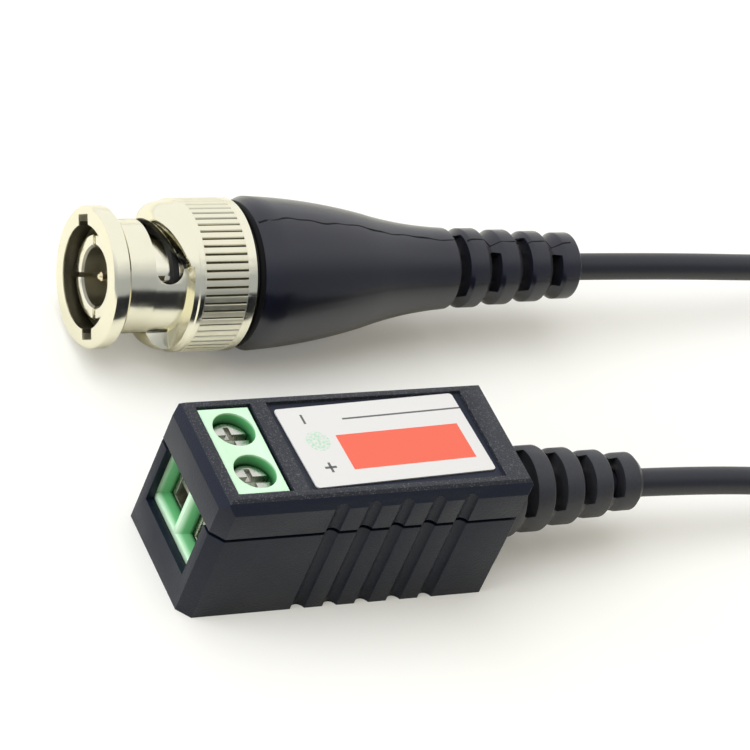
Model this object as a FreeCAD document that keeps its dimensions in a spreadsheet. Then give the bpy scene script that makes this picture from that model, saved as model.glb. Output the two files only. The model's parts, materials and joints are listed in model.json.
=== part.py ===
import FreeCAD, Part
import math
import os
import re
import Sketcher

# A passive video balun: a two-shell case with a two-way rising-clamp terminal block at its left end,
# and a short coaxial pigtail that ends in a bayonet plug.
# X runs along the case from the terminals to the cable, Y runs back and Z up.
# The origin is the middle of the case's bottom face. Sizes are in millimetres.

document = FreeCAD.newDocument("video_balun")
sheet = document.addObject("Spreadsheet::Sheet", "Sizes")

SIZES = [
    # case
    ("case_length", 32.0, "overall length of the two shells"),
    ("case_width", 13.6, "overall width"),
    ("case_height", 14.2, "overall height"),
    ("side_wall", 1.5, "wall along both sides"),
    ("wire_wall", 0.8, "end wall of the lower shell, round the wire window"),
    ("lintel_wall", 1.7, "end wall of the upper shell, over the wire window"),
    ("exit_wall", 1.6, "end wall at the cable"),
    ("floor_thickness", 1.4, "bottom of the lower shell"),
    ("roof_thickness", 1.2, "top of the upper shell"),
    ("parting_height", 9.75, "top edge of the lower shell"),
    ("parting_gap", 0.35, "shadow gap between the shells"),
    ("corner_cut", 1.15, "width of the cut upright corners, along X and Y"),
    ("bevel_inset", 0.9, "how far the top bevel leans in"),
    ("bevel_drop", 1.2, "height of the top bevel"),
    ("exit_step", 0.9, "how far the foot of the cable end steps in"),
    ("exit_step_height", 3.4, "height of that step"),
    # grip flutes on both sides
    ("flute_count", 5, "flutes on each side"),
    ("flute_first", -4.95, "left edge of the first flute"),
    ("flute_pitch", 3.3, "flute to flute"),
    ("flute_width", 1.45, "width of a flute on the wall"),
    ("flute_depth", 0.5, "depth in the middle of a flute"),
    ("flute_top", 13.65, "height of the flutes' round upper ends"),
    # openings of the case
    ("wire_window_side", 0.75, "from the window to the inside of a side wall"),
    ("wire_window_sill", 3.4, "lower edge of the wire window"),
    ("screw_window_left", 1.7, "from the case's end to the screw window"),
    ("screw_window_length", 5.45, "screw window along the case"),
    ("label_recess_start", 8.7, "from the wire end to the label recess"),
    ("label_recess_stop", 3.2, "from the cable end to the label recess"),
    ("label_recess_rim", 0.55, "rim left along both long edges of the top"),
    ("label_recess_depth", 0.3, "depth of the recess"),
    ("label_end_gap", 0.7, "recess end to sticker"),
    ("label_side_gap", 0.55, "recess side to sticker"),
    ("label_thickness", 0.12, "sticker and its glue"),
    ("label_corner", 0.35, "corner radius of the sticker"),
    ("label_middle_y", 0.12, "middle of the sticker"),
    ("label_turn", 2.2, "degrees by which the sticker sits askew"),
    # snap joint of the shells
    ("lip_thickness", 0.5, "inner lip of the upper shell"),
    ("lip_depth", 0.95, "how far the lip reaches below the lower shell's edge"),
    ("lip_end_gap", 3.0, "from an end of the case to the lip"),
    ("lip_clearance", 0.06, "play between lip and rebate"),
    ("snap_radius", 0.16, "half-round snap bead"),
    ("snap_end_gap", 3.0, "from an end of the lip to the bead"),
    # board and what stands on it
    ("board_rib_height", 0.7, "ribs under the board"),
    ("board_rib_width", 1.2, "each rib along the case"),
    ("board_rib_wire_end", 5.4, "from the wire end to the middle of its rib"),
    ("board_rib_cable_end", 8.0, "from the cable end to the middle of its rib"),
    ("board_thickness", 1.2, "circuit board"),
    ("board_end_gap", 3.3, "from the cable end to the board"),
    ("board_play", 0.25, "play round the board"),
    ("leg_hole_play", 0.1, "play round a leg in its board hole"),
    ("core_share", 0.05, "middle of the ferrite ring, as a share of the case length"),
    ("core_outer", 4.1, "outer radius of the ferrite ring"),
    ("core_inner", 2.1, "inner radius of the ferrite ring"),
    ("core_height", 3.8, "height of the ferrite ring"),
    ("core_edge", 0.4, "rounding of its edges"),
    ("winding_wire", 0.42, "thickness of the winding's wire"),
    ("winding_play", 0.05, "from the winding to the sides of the ring"),
    ("winding_turns", 14, "turns round the ring"),
    ("suppressor_length", 4.3, "surge suppressor along X"),
    ("suppressor_width", 2.6, "surge suppressor across"),
    ("suppressor_height", 2.2, "surge suppressor height"),
    ("suppressor_from_end", 7.7, "from the cable end to the middle of the suppressor"),
    ("suppressor_y", 3.0, "middle of the suppressor"),
    ("capacitor_length", 3.2, "coupling capacitor along X"),
    ("capacitor_width", 1.6, "coupling capacitor across"),
    ("capacitor_height", 1.5, "coupling capacitor height"),
    ("capacitor_y", -3.0, "middle of the capacitor"),
    # terminal block
    ("block_play", 0.1, "from the lower shell's end wall to the block"),
    ("block_side_play", 0.22, "from the block to each side wall"),
    ("block_length", 8.1, "depth of the block's foot"),
    ("block_shoulder", 9.6, "height where the foot ends and the tower starts"),
    ("tower_start", 1.85, "from the wire end to the near face of the tower"),
    ("tower_stop", 6.85, "from the wire end to the far face of the tower"),
    ("block_sink", 0.2, "how far the tower stays below the case's top"),
    ("screw_from_end", 4.5, "from the wire end to the screws"),
    ("well_radius", 2.0, "screw well"),
    ("well_depth", 1.1, "from the block's top to the screw head"),
    ("shelf_thickness", 0.5, "wall that carries the screw head"),
    ("funnel_depth", 1.0, "depth of the wire funnel"),
    ("funnel_web", 0.24, "wall left between the middle and a funnel"),
    ("funnel_low", 0.55, "from the block's foot to the funnel"),
    ("funnel_high", 9.2, "top of the funnel at the face"),
    ("funnel_slope", 0.65, "how far each wall leans in"),
    # rising clamp
    ("cage_length", 4.6, "cage along the wire"),
    ("cage_half_width", 1.6, "half the cage's width"),
    ("cage_side", 0.5, "side walls of the cage"),
    ("cage_floor", 0.5, "floor of the cage"),
    ("cage_roof", 1.0, "threaded roof of the cage"),
    ("cage_opening", 2.6, "height inside the cage"),
    ("cage_bottom", 4.1, "underside of the cage when open"),
    ("cage_play", 0.1, "play round the cage"),
    ("bar_thickness", 0.6, "contact bar"),
    ("bar_half_width", 0.9, "half the bar's width"),
    ("bar_gap", 0.1, "from the bar to the cage's roof when open"),
    ("bar_reach", 1.2, "bar behind the cage"),
    ("leg_half_width", 0.45, "half the solder leg's width"),
    ("leg_below", 0.5, "solder leg below the board"),
    ("screw_head_height", 1.6, "screw head"),
    ("screw_head_play", 0.1, "head to well"),
    ("screw_shank_radius", 1.0, "threaded shank"),
    ("screw_running_fit", 0.05, "shank to threaded roof"),
    ("screw_shelf_play", 0.1, "shank to shelf"),
    ("screw_tip_gap", 0.2, "from the screw's tip to the contact bar"),
    ("screw_slot_width", 0.75, "screwdriver slot"),
    ("screw_slot_depth", 0.8, "screwdriver slot"),
    ("screw_cross_width", 0.5, "narrower cross slot"),
    ("screw_cross_reach", 1.3, "half its length"),
    ("screw_head_bevel", 0.2, "edge of the head"),
    # ringed strain relief of the case
    ("exit_height", 6.15, "cable above the floor at the case"),
    ("relief_flange_radius", 4.0, "flange inside the case"),
    ("relief_flange_thickness", 1.0, "flange inside the case"),
    ("relief_neck_radius", 3.2, "neck in the wall"),
    ("relief_neck_play", 0.05, "neck to wall"),
    ("relief_base_radius", 4.45, "collar outside the wall"),
    ("relief_tip_radius", 2.75, "last ring"),
    ("relief_nose", 0.4, "rounded nose after the last ring"),
    ("relief_nose_radius", 2.2, "nose at the cable"),
    ("relief_collar", 2.25, "collar before the first slot"),
    ("relief_first_ring", 3.65, "front of the first ring"),
    ("relief_pitch", 3.45, "ring to ring"),
    ("relief_gap", 1.55, "slot between two rings"),
    ("relief_groove", 0.45, "depth of the groove round each slot"),
    ("relief_web", 0.85, "web left beside each slot"),
    ("relief_turn", 60.0, "degrees from level to the slots' direction"),
    # cable
    ("cable_radius", 1.35, "coaxial cable"),
    ("core_lead_radius", 0.28, "insulated centre lead"),
    ("shield_lead_radius", 0.28, "twisted shield"),
    ("jacket_inside", 0.8, "jacket that shows inside the case"),
    ("lead_side", 0.5, "from the middle to a lead at the jacket"),
    ("lead_straight", 2.6, "lead before it bends down"),
    ("lead_reach", 5.6, "jacket to the solder spot"),
    ("jacket_straight", 2.9, "jacket that runs straight out of the boot"),
    # bayonet plug, along its own axis from the front of the nut
    ("plug_x", -14.05, "front of the nut"),
    ("plug_y", 28.9, "front of the nut"),
    ("plug_z", 7.3, "axis above the floor, the boot's radius"),
    ("plug_turn", -1.25, "degrees by which the plug points off the X axis"),
    ("plug_roll", -40.0, "degrees by which the plug is rolled about its axis"),
    ("nut_bore", 4.9, "bore over the mating socket"),
    ("nut_collar_radius", 6.65, "front collar"),
    ("nut_collar_length", 1.75, "front collar"),
    ("nut_edge", 0.25, "edge bevels of the nut"),
    ("nut_sleeve_radius", 5.4, "sleeve with the bayonet slots"),
    ("nut_shoulder_start", 5.7, "foot of the rounded shoulder"),
    ("nut_shoulder_end", 7.5, "top of the rounded shoulder"),
    ("nut_shoulder_radius", 6.95, "top of the rounded shoulder"),
    ("nut_shoulder_round", 2.4, "rounding of the shoulder"),
    ("nut_ring_start", 8.35, "front of the grip ring"),
    ("nut_ring_radius", 7.2, "grip ring"),
    ("nut_knurl_start", 9.0, "front of the knurl"),
    ("nut_knurl_end", 13.35, "back of the knurl"),
    ("nut_length", 14.5, "overall length of the nut"),
    ("knurl_count", 58, "ridges round the ring"),
    ("knurl_depth", 0.3, "depth of the knurl"),
    ("knurl_half_width", 0.19, "half the groove at the rim"),
    ("nut_seat_start", 10.6, "inner flange of the nut"),
    ("nut_seat_end", 12.0, "inner flange of the nut"),
    ("nut_skirt_bore", 6.0, "bore of the skirt behind the flange"),
    ("nut_running_fit", 0.08, "inner flange to the body's neck"),
    ("lug_width", 2.0, "entry channel for a lug"),
    ("lug_radius", 5.8, "bottom of the entry channel"),
    ("lug_entry_turn", 45.0, "degrees from level to the first entry"),
    ("slot_sweep", 85.0, "degrees from the entry to the detent"),
    ("slot_front", 4.75, "front edge of the slot"),
    ("slot_back_start", 5.7, "back edge of the slot at the entry"),
    ("slot_back_end", 7.55, "back edge of the slot at the detent"),
    ("ramp_end", 7.9, "shoulder behind the slot"),
    ("ramp_sweep", 172.0, "degrees from the entry to the end of the cut shoulder"),
    ("detent_radius", 1.4, "round end of the slot"),
    ("contact_front", 0.9, "front of the slotted contact"),
    ("contact_radius", 4.0, "outside of the slotted contact and the neck"),
    ("contact_bore", 2.75, "inside of the slotted contact"),
    ("contact_edge", 0.3, "bevel at its mouth"),
    ("contact_slit", 0.45, "width of its four slits"),
    ("contact_slit_end", 6.3, "end of the slits"),
    ("flange_start", 7.4, "flange that the socket is pulled against"),
    ("flange_end", 8.6, "back of that flange"),
    ("flange_radius", 4.75, "flange"),
    ("tail_radius", 3.9, "body behind the retaining ring"),
    ("tail_end", 17.5, "body behind the retaining ring"),
    ("stem_radius", 2.2, "crimp stem"),
    ("stem_end", 24.0, "crimp stem"),
    ("stem_bore", 0.9, "bore of the stem"),
    ("insulator_start", 5.0, "front insulator"),
    ("insulator_end", 12.0, "front insulator"),
    ("insulator_play", 0.03, "from the insulator to the contact and the pin"),
    ("pin_radius", 0.65, "centre pin"),
    ("pin_tip_radius", 0.45, "tip of the pin"),
    ("pin_start", 1.4, "tip of the pin"),
    ("pin_taper", 2.1, "end of the tip"),
    ("gasket_thickness", 0.6, "mating gasket"),
    ("thrust_thickness", 0.4, "thrust washer"),
    ("thrust_play", 0.05, "thrust washer in the nut's bore"),
    ("ring_thickness", 0.6, "retaining ring"),
    ("ring_play", 0.05, "round the retaining ring in its groove"),
    ("ring_radius", 5.1, "retaining ring"),
    ("ring_groove", 0.4, "depth of its groove"),
    ("ring_mouth", 40.0, "degrees of the ring's mouth"),
    ("ferrule_wall", 0.65, "crimp ferrule"),
    ("ferrule_start", 17.6, "crimp ferrule"),
    ("ferrule_step", 24.2, "where it closes on the jacket"),
    ("ferrule_end", 27.2, "crimp ferrule"),
    # boot of the plug
    ("boot_start", 14.75, "front of the boot"),
    ("boot_lip_radius", 6.5, "front edge of the boot"),
    ("boot_lip_length", 1.7, "bevel behind the front edge"),
    ("boot_radius", 7.3, "widest part of the boot"),
    ("boot_waist", 28.5, "end of the swelling"),
    ("boot_waist_radius", 5.55, "radius there"),
    ("boot_swell_round", 62.0, "rounding of the swelling"),
    ("boot_hollow_round", 42.0, "rounding of the hollow behind it"),
    ("boot_tail_start", 37.9, "end of the smooth body"),
    ("boot_tail_radius", 3.95, "radius there"),
    ("tail_ring_first", 39.5, "front of the first ring"),
    ("tail_ring_pitch", 3.58, "ring to ring"),
    ("tail_ring_length", 1.9, "each ring"),
    ("tail_ring_start_radius", 3.87, "first ring"),
    ("tail_ring_end_radius", 3.27, "last ring"),
    ("tail_groove", 0.8, "depth of the grooves"),
    ("tail_odd_web", 0.9, "web beside the first and third slots"),
    ("tail_even_web", 1.75, "web beside the second and fourth slots"),
    ("tail_odd_turn", 51.0, "degrees from level to the first and third slots"),
    ("tail_even_turn", 33.0, "degrees from level to the second and fourth slots"),
    ("tail_nose", 0.3, "nose after the last ring"),
    ("tail_nose_radius", 2.6, "nose at the cable"),
]

for row, (alias, number, note) in enumerate(SIZES, start=1):
    sheet.set(f"A{row}", alias)
    sheet.set(f"B{row}", str(number))
    sheet.set(f"C{row}", note)
    sheet.setAlias(f"B{row}", alias)
document.recompute()

ALIASES = {alias for alias, number, note in SIZES}
finished = []


def size(formula):
    """Read a formula of the sheet's aliases as a plain number."""
    return float(sheet.evalExpression(str(formula)))


def bound(formula):
    """The same formula as an expression that other objects can hold."""
    return re.sub(r"[a-z]\w*", lambda word: f"Sizes.{word.group()}" if word.group() in ALIASES else word.group(),
                  str(formula))


def keep(item, label):
    """Give a finished piece its label, which names its file."""
    item.Label = label
    finished.append(item)
    return item


def new_body(name):
    return document.addObject("PartDesign::Body", name)


def origin_feature(body, role):
    return [feature for feature in body.Origin.OriginFeatures if feature.Role == role][0]


def new_sketch(body, role, height="0", tilt=None):
    """A sketch on one of the body's own origin planes, moved along its normal and tilted about its X."""
    sketch = body.newObject("Sketcher::SketchObject", body.Name + "_sketch")
    sketch.AttachmentSupport = (origin_feature(body, role), [""])
    sketch.MapMode = "FlatFace"
    turn = FreeCAD.Rotation(FreeCAD.Vector(1, 0, 0), size(tilt) if tilt else 0)
    sketch.AttachmentOffset = FreeCAD.Placement(FreeCAD.Vector(0, 0, size(height)), turn)
    sketch.setExpression("AttachmentOffset.Base.z", bound(height))
    return sketch


def hold(sketch, kind, place, formula):
    """Bind one dimension of a sketch to a formula of the sheet."""
    index = sketch.addConstraint(Sketcher.Constraint(kind, *place, size(formula)))
    sketch.renameConstraint(index, f"size_{index}")
    sketch.setExpression(f"Constraints.size_{index}", bound(formula))


def outline(sketch, corners):
    """Draw a closed outline. A corner is (x, y), or (x, y, radius) where an arc leads to it.

    A positive radius bulges to the left of the way from the corner before, a negative one to the right.
    """
    first = len(sketch.Geometry)
    count = len(corners)
    points = [FreeCAD.Vector(size(corner[0]), size(corner[1]), 0) for corner in corners]
    starts = []
    for index in range(count):
        begin, end = points[index - 1], points[index]
        if len(corners[index]) == 2:
            sketch.addGeometry(Part.LineSegment(begin, end))
            starts.append((1, 2))
            continue
        radius = size(corners[index][2])
        chord = end - begin
        side = FreeCAD.Vector(-chord.y, chord.x, 0).normalize() * math.copysign(1, radius)
        middle = (begin + end) / 2 - side * math.sqrt(radius ** 2 - (chord.Length / 2) ** 2)
        # a sketch keeps its arcs anticlockwise, so an arc that bulges left is drawn from its far end
        ends = [end, begin] if radius > 0 else [begin, end]
        angles = [math.atan2(point.y - middle.y, point.x - middle.x) for point in ends]
        if angles[1] < angles[0]:
            angles[1] += 2 * math.pi
        ring = Part.Circle(middle, FreeCAD.Vector(0, 0, 1), abs(radius))
        sketch.addGeometry(Part.ArcOfCircle(ring, angles[0], angles[1]))
        starts.append((2, 1) if radius > 0 else (1, 2))
    for index in range(count):
        after = (index + 1) % count
        place = (first + index, starts[index][1], first + after, starts[after][0])
        sketch.addConstraint(Sketcher.Constraint("Coincident", *place))
    for index, corner in enumerate(corners):
        place = (-1, 1, first + index, starts[index][1])
        hold(sketch, "DistanceX", place, corner[0])
        hold(sketch, "DistanceY", place, corner[1])
        if len(corner) == 3:
            hold(sketch, "Radius", (first + index,), f"abs({corner[2]})")


def rectangle(sketch, left, right, low, high):
    outline(sketch, [(left, low), (right, low), (right, high), (left, high)])


def circle(sketch, x, y, radius):
    index = sketch.addGeometry(Part.Circle(FreeCAD.Vector(size(x), size(y), 0), FreeCAD.Vector(0, 0, 1), size(radius)))
    hold(sketch, "DistanceX", (-1, 1, index, 3), x)
    hold(sketch, "DistanceY", (-1, 1, index, 3), y)
    hold(sketch, "Radius", (index,), radius)


def pad(body, sketch, length, reverse=False):
    feature = body.newObject("PartDesign::Pad", body.Name + "_pad")
    feature.Profile = sketch
    feature.setExpression("Length", bound(length))
    feature.Reversed = reverse
    document.recompute()
    return feature


def pocket(body, sketch, length=None, reverse=False):
    """Cut a sketch out of a body, through all of it both ways where no length is given."""
    before = body.Shape.Volume
    feature = body.newObject("PartDesign::Pocket", body.Name + "_pocket")
    feature.Profile = sketch
    feature.Reversed = reverse
    if length is None:
        feature.Midplane = True
        feature.Type = "ThroughAll"
    else:
        feature.setExpression("Length", bound(length))
    document.recompute()
    if not body.Shape.Volume < before - 1e-6:
        raise RuntimeError(f"a pocket of {body.Name} cut nothing")
    return feature


def revolve(body, sketch):
    feature = body.newObject("PartDesign::Revolution", body.Name + "_revolution")
    feature.Profile = sketch
    feature.ReferenceAxis = (origin_feature(body, "X_Axis"), [""])
    feature.Angle = 360
    document.recompute()
    return feature


def turned(name, corners):
    """A piece turned about its own X axis, from corners given along and out from that axis."""
    body = new_body(name)
    sketch = new_sketch(body, "XZ_Plane")
    outline(sketch, corners)
    revolve(body, sketch)
    return body


def tube(name, start, end, inner, outer):
    return turned(name, [(start, inner), (end, inner), (end, outer), (start, outer)])


def box(name, left, right, front, back, low, high):
    """A block given by its six sides."""
    item = document.addObject("Part::Box", name)
    item.setExpression("Length", bound(f"({right}) - ({left})"))
    item.setExpression("Width", bound(f"({back}) - ({front})"))
    item.setExpression("Height", bound(f"({high}) - ({low})"))
    item.setExpression("Placement.Base.x", bound(left))
    item.setExpression("Placement.Base.y", bound(front))
    item.setExpression("Placement.Base.z", bound(low))
    return item


def upright(name, radius, low, high, x, y):
    """An upright cylinder."""
    item = document.addObject("Part::Cylinder", name)
    item.setExpression("Radius", bound(radius))
    item.setExpression("Height", bound(f"({high}) - ({low})"))
    item.setExpression("Placement.Base.x", bound(x))
    item.setExpression("Placement.Base.y", bound(y))
    item.setExpression("Placement.Base.z", bound(low))
    return item


def fuse(name, pieces):
    item = document.addObject("Part::MultiFuse", name)
    item.Shapes = pieces
    item.Refine = True
    return item


def cut(name, base, tool):
    item = document.addObject("Part::Cut", name)
    item.Base = base
    item.Tool = tool
    item.Refine = True
    return item


def lay_plug(item, roll="0"):
    """Move a piece that was made along its own X axis to the plug's place on the floor."""
    turn = FreeCAD.Rotation(FreeCAD.Vector(0, 0, 1), size("plug_turn"))
    turn = turn * FreeCAD.Rotation(FreeCAD.Vector(1, 0, 0), size(roll))
    item.Placement = FreeCAD.Placement(FreeCAD.Vector(size("plug_x"), size("plug_y"), size("plug_z")), turn)
    for letter in "xyz":
        item.setExpression(f"Placement.Base.{letter}", bound(f"plug_{letter}"))
    return item


def lay_exit(item):
    """Move a piece that was made along its own X axis to the cable exit of the case."""
    item.setExpression("Placement.Base.x", bound("case_length / 2"))
    item.setExpression("Placement.Base.z", bound("exit_height"))
    return item


# Case: both shells share one outline, its cut corners and its flutes

LIP_REACH = "(case_length / 2 - lip_end_gap)"
RECESS_START = "(label_recess_start - case_length / 2)"
RECESS_STOP = "(case_length / 2 - label_recess_stop)"
FLUTE_RADIUS = "((flute_width * flute_width / 4 + flute_depth * flute_depth) / (2 * flute_depth))"


def cut_corners(body):
    """Cut the four upright corners off at 45 degrees."""
    sketch = new_sketch(body, "XY_Plane")
    for along in (-1, 1):
        for across in (-1, 1):
            end, side = f"{along} * case_length / 2", f"{across} * case_width / 2"
            outline(sketch, [
                (f"{end} + {along}", f"{side} - {across} * (corner_cut + 1)"),
                (f"{end} + {along}", f"{side} + {across}"),
                (f"{end} - {along} * (corner_cut + 1)", f"{side} + {across}"),
            ])
    pocket(body, sketch)


def cut_flutes(body, round_ends=False):
    """Grip flutes: upright round grooves. Each one ends in a ball under the top bevel."""
    sketch = new_sketch(body, "XY_Plane")
    places = []
    for number in range(int(size("flute_count"))):
        edge = f"flute_first + {number} * flute_pitch"
        for across in (-1, 1):
            side = f"{across} * case_width / 2"
            outline(sketch, [
                (edge, f"{side} + {across}"),
                (edge, side),
                (f"{edge} + flute_width", side, f"-{across} * {FLUTE_RADIUS}"),
                (f"{edge} + flute_width", f"{side} + {across}"),
            ])
            places.append((f"{edge} + flute_width / 2",
                           f"{side} + {across} * ({FLUTE_RADIUS} - flute_depth)"))
    pocket(body, sketch, f"flute_top - {FLUTE_RADIUS}", reverse=True)
    if not round_ends:
        return
    for number, (along, across) in enumerate(places, 1):
        ball = body.newObject("PartDesign::SubtractiveSphere", f"flute_end_{number}")
        ball.setExpression("Radius", bound(FLUTE_RADIUS))
        ball.setExpression("Placement.Base.x", bound(along))
        ball.setExpression("Placement.Base.y", bound(across))
        ball.setExpression("Placement.Base.z", bound(f"flute_top - {FLUTE_RADIUS}"))
    document.recompute()


def make_lower_shell():
    body = new_body("lower_shell")
    sketch = new_sketch(body, "XY_Plane")
    rectangle(sketch, "-case_length / 2", "case_length / 2", "-case_width / 2", "case_width / 2")
    pad(body, sketch, "parting_height")
    cut_corners(body)
    cut_flutes(body)

    # hollow inside, down to the floor
    sketch = new_sketch(body, "XY_Plane", "parting_height")
    rectangle(sketch, "wire_wall - case_length / 2", "case_length / 2 - exit_wall",
              "side_wall - case_width / 2", "case_width / 2 - side_wall")
    pocket(body, sketch, "parting_height - floor_thickness")

    # ribs that carry the board
    for rib in ("board_rib_wire_end - case_length / 2", "case_length / 2 - board_rib_cable_end"):
        sketch = new_sketch(body, "XY_Plane", "floor_thickness")
        rectangle(sketch, f"{rib} - board_rib_width / 2", f"{rib} + board_rib_width / 2",
                  "side_wall - case_width / 2", "case_width / 2 - side_wall")
        pad(body, sketch, "board_rib_height")

    # foot of the cable end steps in
    sketch = new_sketch(body, "XZ_Plane")
    rectangle(sketch, "case_length / 2 - exit_step", "case_length / 2 + 1", "-1", "exit_step_height")
    pocket(body, sketch)

    # window for the wires
    sketch = new_sketch(body, "YZ_Plane", "-case_length / 2")
    window = "(case_width / 2 - side_wall - wire_window_side)"
    rectangle(sketch, f"-{window}", window, "wire_window_sill", "parting_height + 1")
    pocket(body, sketch, "wire_wall", reverse=True)

    # open slot for the neck of the strain relief
    sketch = new_sketch(body, "YZ_Plane", "case_length / 2")
    half = "(relief_neck_radius + relief_neck_play)"
    outline(sketch, [
        (f"-{half}", "parting_height + 1"),
        (f"-{half}", "exit_height"),
        (half, "exit_height", f"-1.0001 * {half}"),
        (half, "parting_height + 1"),
    ])
    pocket(body, sketch, "exit_wall")

    # rebates for the upper shell's lips, with a groove for the snap bead
    sketch = new_sketch(body, "XY_Plane", "parting_height")
    for across in (-1, 1):
        inner = f"{across} * (case_width / 2 - side_wall)"
        rectangle(sketch, f"-{LIP_REACH} - lip_clearance", f"{LIP_REACH} + lip_clearance",
                  inner, f"{inner} + {across} * (lip_thickness + lip_clearance)")
    pocket(body, sketch, "lip_depth")
    sketch = new_sketch(body, "YZ_Plane")
    for across in (-1, 1):
        circle(sketch, f"{across} * (case_width / 2 - side_wall + lip_thickness)",
               "parting_height - lip_depth / 2", "snap_radius + lip_clearance")
    groove = body.newObject("PartDesign::Pocket", "snap_groove")
    groove.Profile = sketch
    groove.Midplane = True
    groove.setExpression("Length", bound(f"2 * ({LIP_REACH} - snap_end_gap + lip_clearance)"))
    document.recompute()
    return keep(body, "lower_shell")


def make_upper_shell():
    body = new_body("upper_shell")
    low = "parting_height + parting_gap"
    shoulder = "case_height - bevel_drop"
    sketch = new_sketch(body, "XY_Plane", low)
    rectangle(sketch, "-case_length / 2", "case_length / 2", "-case_width / 2", "case_width / 2")
    pad(body, sketch, f"{shoulder} - ({low})")

    # bevelled top
    foot = new_sketch(body, "XY_Plane", shoulder)
    rectangle(foot, "-case_length / 2", "case_length / 2", "-case_width / 2", "case_width / 2")
    crown = new_sketch(body, "XY_Plane", "case_height")
    rectangle(crown, "bevel_inset - case_length / 2", "case_length / 2 - bevel_inset",
              "bevel_inset - case_width / 2", "case_width / 2 - bevel_inset")
    loft = body.newObject("PartDesign::AdditiveLoft", "upper_shell_bevel")
    loft.Profile = foot
    loft.Sections = [crown]
    loft.Ruled = True
    document.recompute()
    cut_corners(body)
    cut_flutes(body, round_ends=True)

    # hollow inside, up to the roof
    sketch = new_sketch(body, "XY_Plane", low)
    rectangle(sketch, "lintel_wall - case_length / 2", "case_length / 2 - exit_wall",
              "side_wall - case_width / 2", "case_width / 2 - side_wall")
    pocket(body, sketch, f"case_height - roof_thickness - ({low})", reverse=True)

    # window over the screws
    sketch = new_sketch(body, "XY_Plane", "case_height")
    left = "screw_window_left - case_length / 2"
    rectangle(sketch, left, f"{left} + screw_window_length",
              "side_wall - case_width / 2", "case_width / 2 - side_wall")
    pocket(body, sketch, "roof_thickness")

    # shallow recess for the sticker
    sketch = new_sketch(body, "XY_Plane", "case_height")
    edge = "(case_width / 2 - bevel_inset - label_recess_rim)"
    rectangle(sketch, RECESS_START, RECESS_STOP, f"-{edge}", edge)
    pocket(body, sketch, "label_recess_depth")

    # lips that drop into the lower shell
    sketch = new_sketch(body, "XY_Plane", low)
    for across in (-1, 1):
        inner = f"{across} * (case_width / 2 - side_wall)"
        rectangle(sketch, f"-{LIP_REACH}", LIP_REACH, inner, f"{inner} + {across} * lip_thickness")
    pad(body, sketch, "lip_depth + parting_gap", reverse=True)

    # snap beads on the lips
    sketch = new_sketch(body, "YZ_Plane")
    for across in (-1, 1):
        middle = f"{across} * (case_width / 2 - side_wall + lip_thickness)"
        circle(sketch, middle, "parting_height - lip_depth / 2", "snap_radius")
    bead = body.newObject("PartDesign::Pad", "snap_bead")
    bead.Profile = sketch
    bead.Midplane = True
    bead.setExpression("Length", bound(f"2 * ({LIP_REACH} - snap_end_gap)"))
    document.recompute()

    # tongue that closes the slot over the strain relief's neck
    sketch = new_sketch(body, "YZ_Plane", "case_length / 2 - exit_wall")
    rise = "exit_height + relief_neck_radius / 2"
    width = "relief_neck_radius"
    reach = "sqrt((relief_neck_radius + relief_neck_play)^2 - (relief_neck_radius / 2)^2)"
    outline(sketch, [
        (f"-{width}", f"{low} + 0.2"),
        (f"-{width}", rise),
        (f"-{reach}", rise),
        (reach, rise, "relief_neck_radius + relief_neck_play"),
        (width, rise),
        (width, f"{low} + 0.2"),
    ])
    pad(body, sketch, "exit_wall")
    return keep(body, "upper_shell")


def make_label():
    """The sticker lies slightly askew in its recess."""
    body = new_body("label_sticker")
    sketch = new_sketch(body, "XY_Plane")
    half_length = f"(({RECESS_STOP} - {RECESS_START}) / 2 - label_end_gap)"
    half_width = "(case_width / 2 - bevel_inset - label_recess_rim - label_side_gap)"
    rectangle(sketch, f"-{half_length}", half_length, f"-{half_width}", half_width)
    base = pad(body, sketch, "label_thickness")
    corners = [f"Edge{number}" for number, edge in enumerate(base.Shape.Edges, start=1)
               if abs(edge.tangentAt(edge.FirstParameter).z) > 0.9]
    fillet = body.newObject("PartDesign::Fillet", "label_corners")
    fillet.Base = (base, corners)
    fillet.setExpression("Radius", bound("label_corner"))
    turn = FreeCAD.Rotation(FreeCAD.Vector(0, 0, 1), size("label_turn"))
    body.Placement = FreeCAD.Placement(FreeCAD.Vector(0, 0, 0), turn)
    body.setExpression("Placement.Base.x", bound(f"({RECESS_START} + {RECESS_STOP}) / 2"))
    body.setExpression("Placement.Base.y", bound("label_middle_y"))
    body.setExpression("Placement.Base.z", bound("case_height - label_recess_depth"))
    document.recompute()
    return keep(body, "label_sticker")


# Terminal block with its rising clamps

BOARD_TOP = "floor_thickness + board_rib_height + board_thickness"
BLOCK_FACE = "wire_wall + block_play - case_length / 2"
BLOCK_TOP = "case_height - block_sink"
SHELF_TOP = f"{BLOCK_TOP} - well_depth - screw_head_height"
ROOF_BOTTOM = "cage_bottom + cage_floor + cage_opening"
BAR_TOP = f"{ROOF_BOTTOM} - bar_gap"
BLOCK_WIDTH = "(case_width - 2 * side_wall - 2 * block_side_play)"
WAYS = {1: f"-{BLOCK_WIDTH} / 4", 2: f"{BLOCK_WIDTH} / 4"}
SCREW_X = "screw_from_end - case_length / 2"


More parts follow.
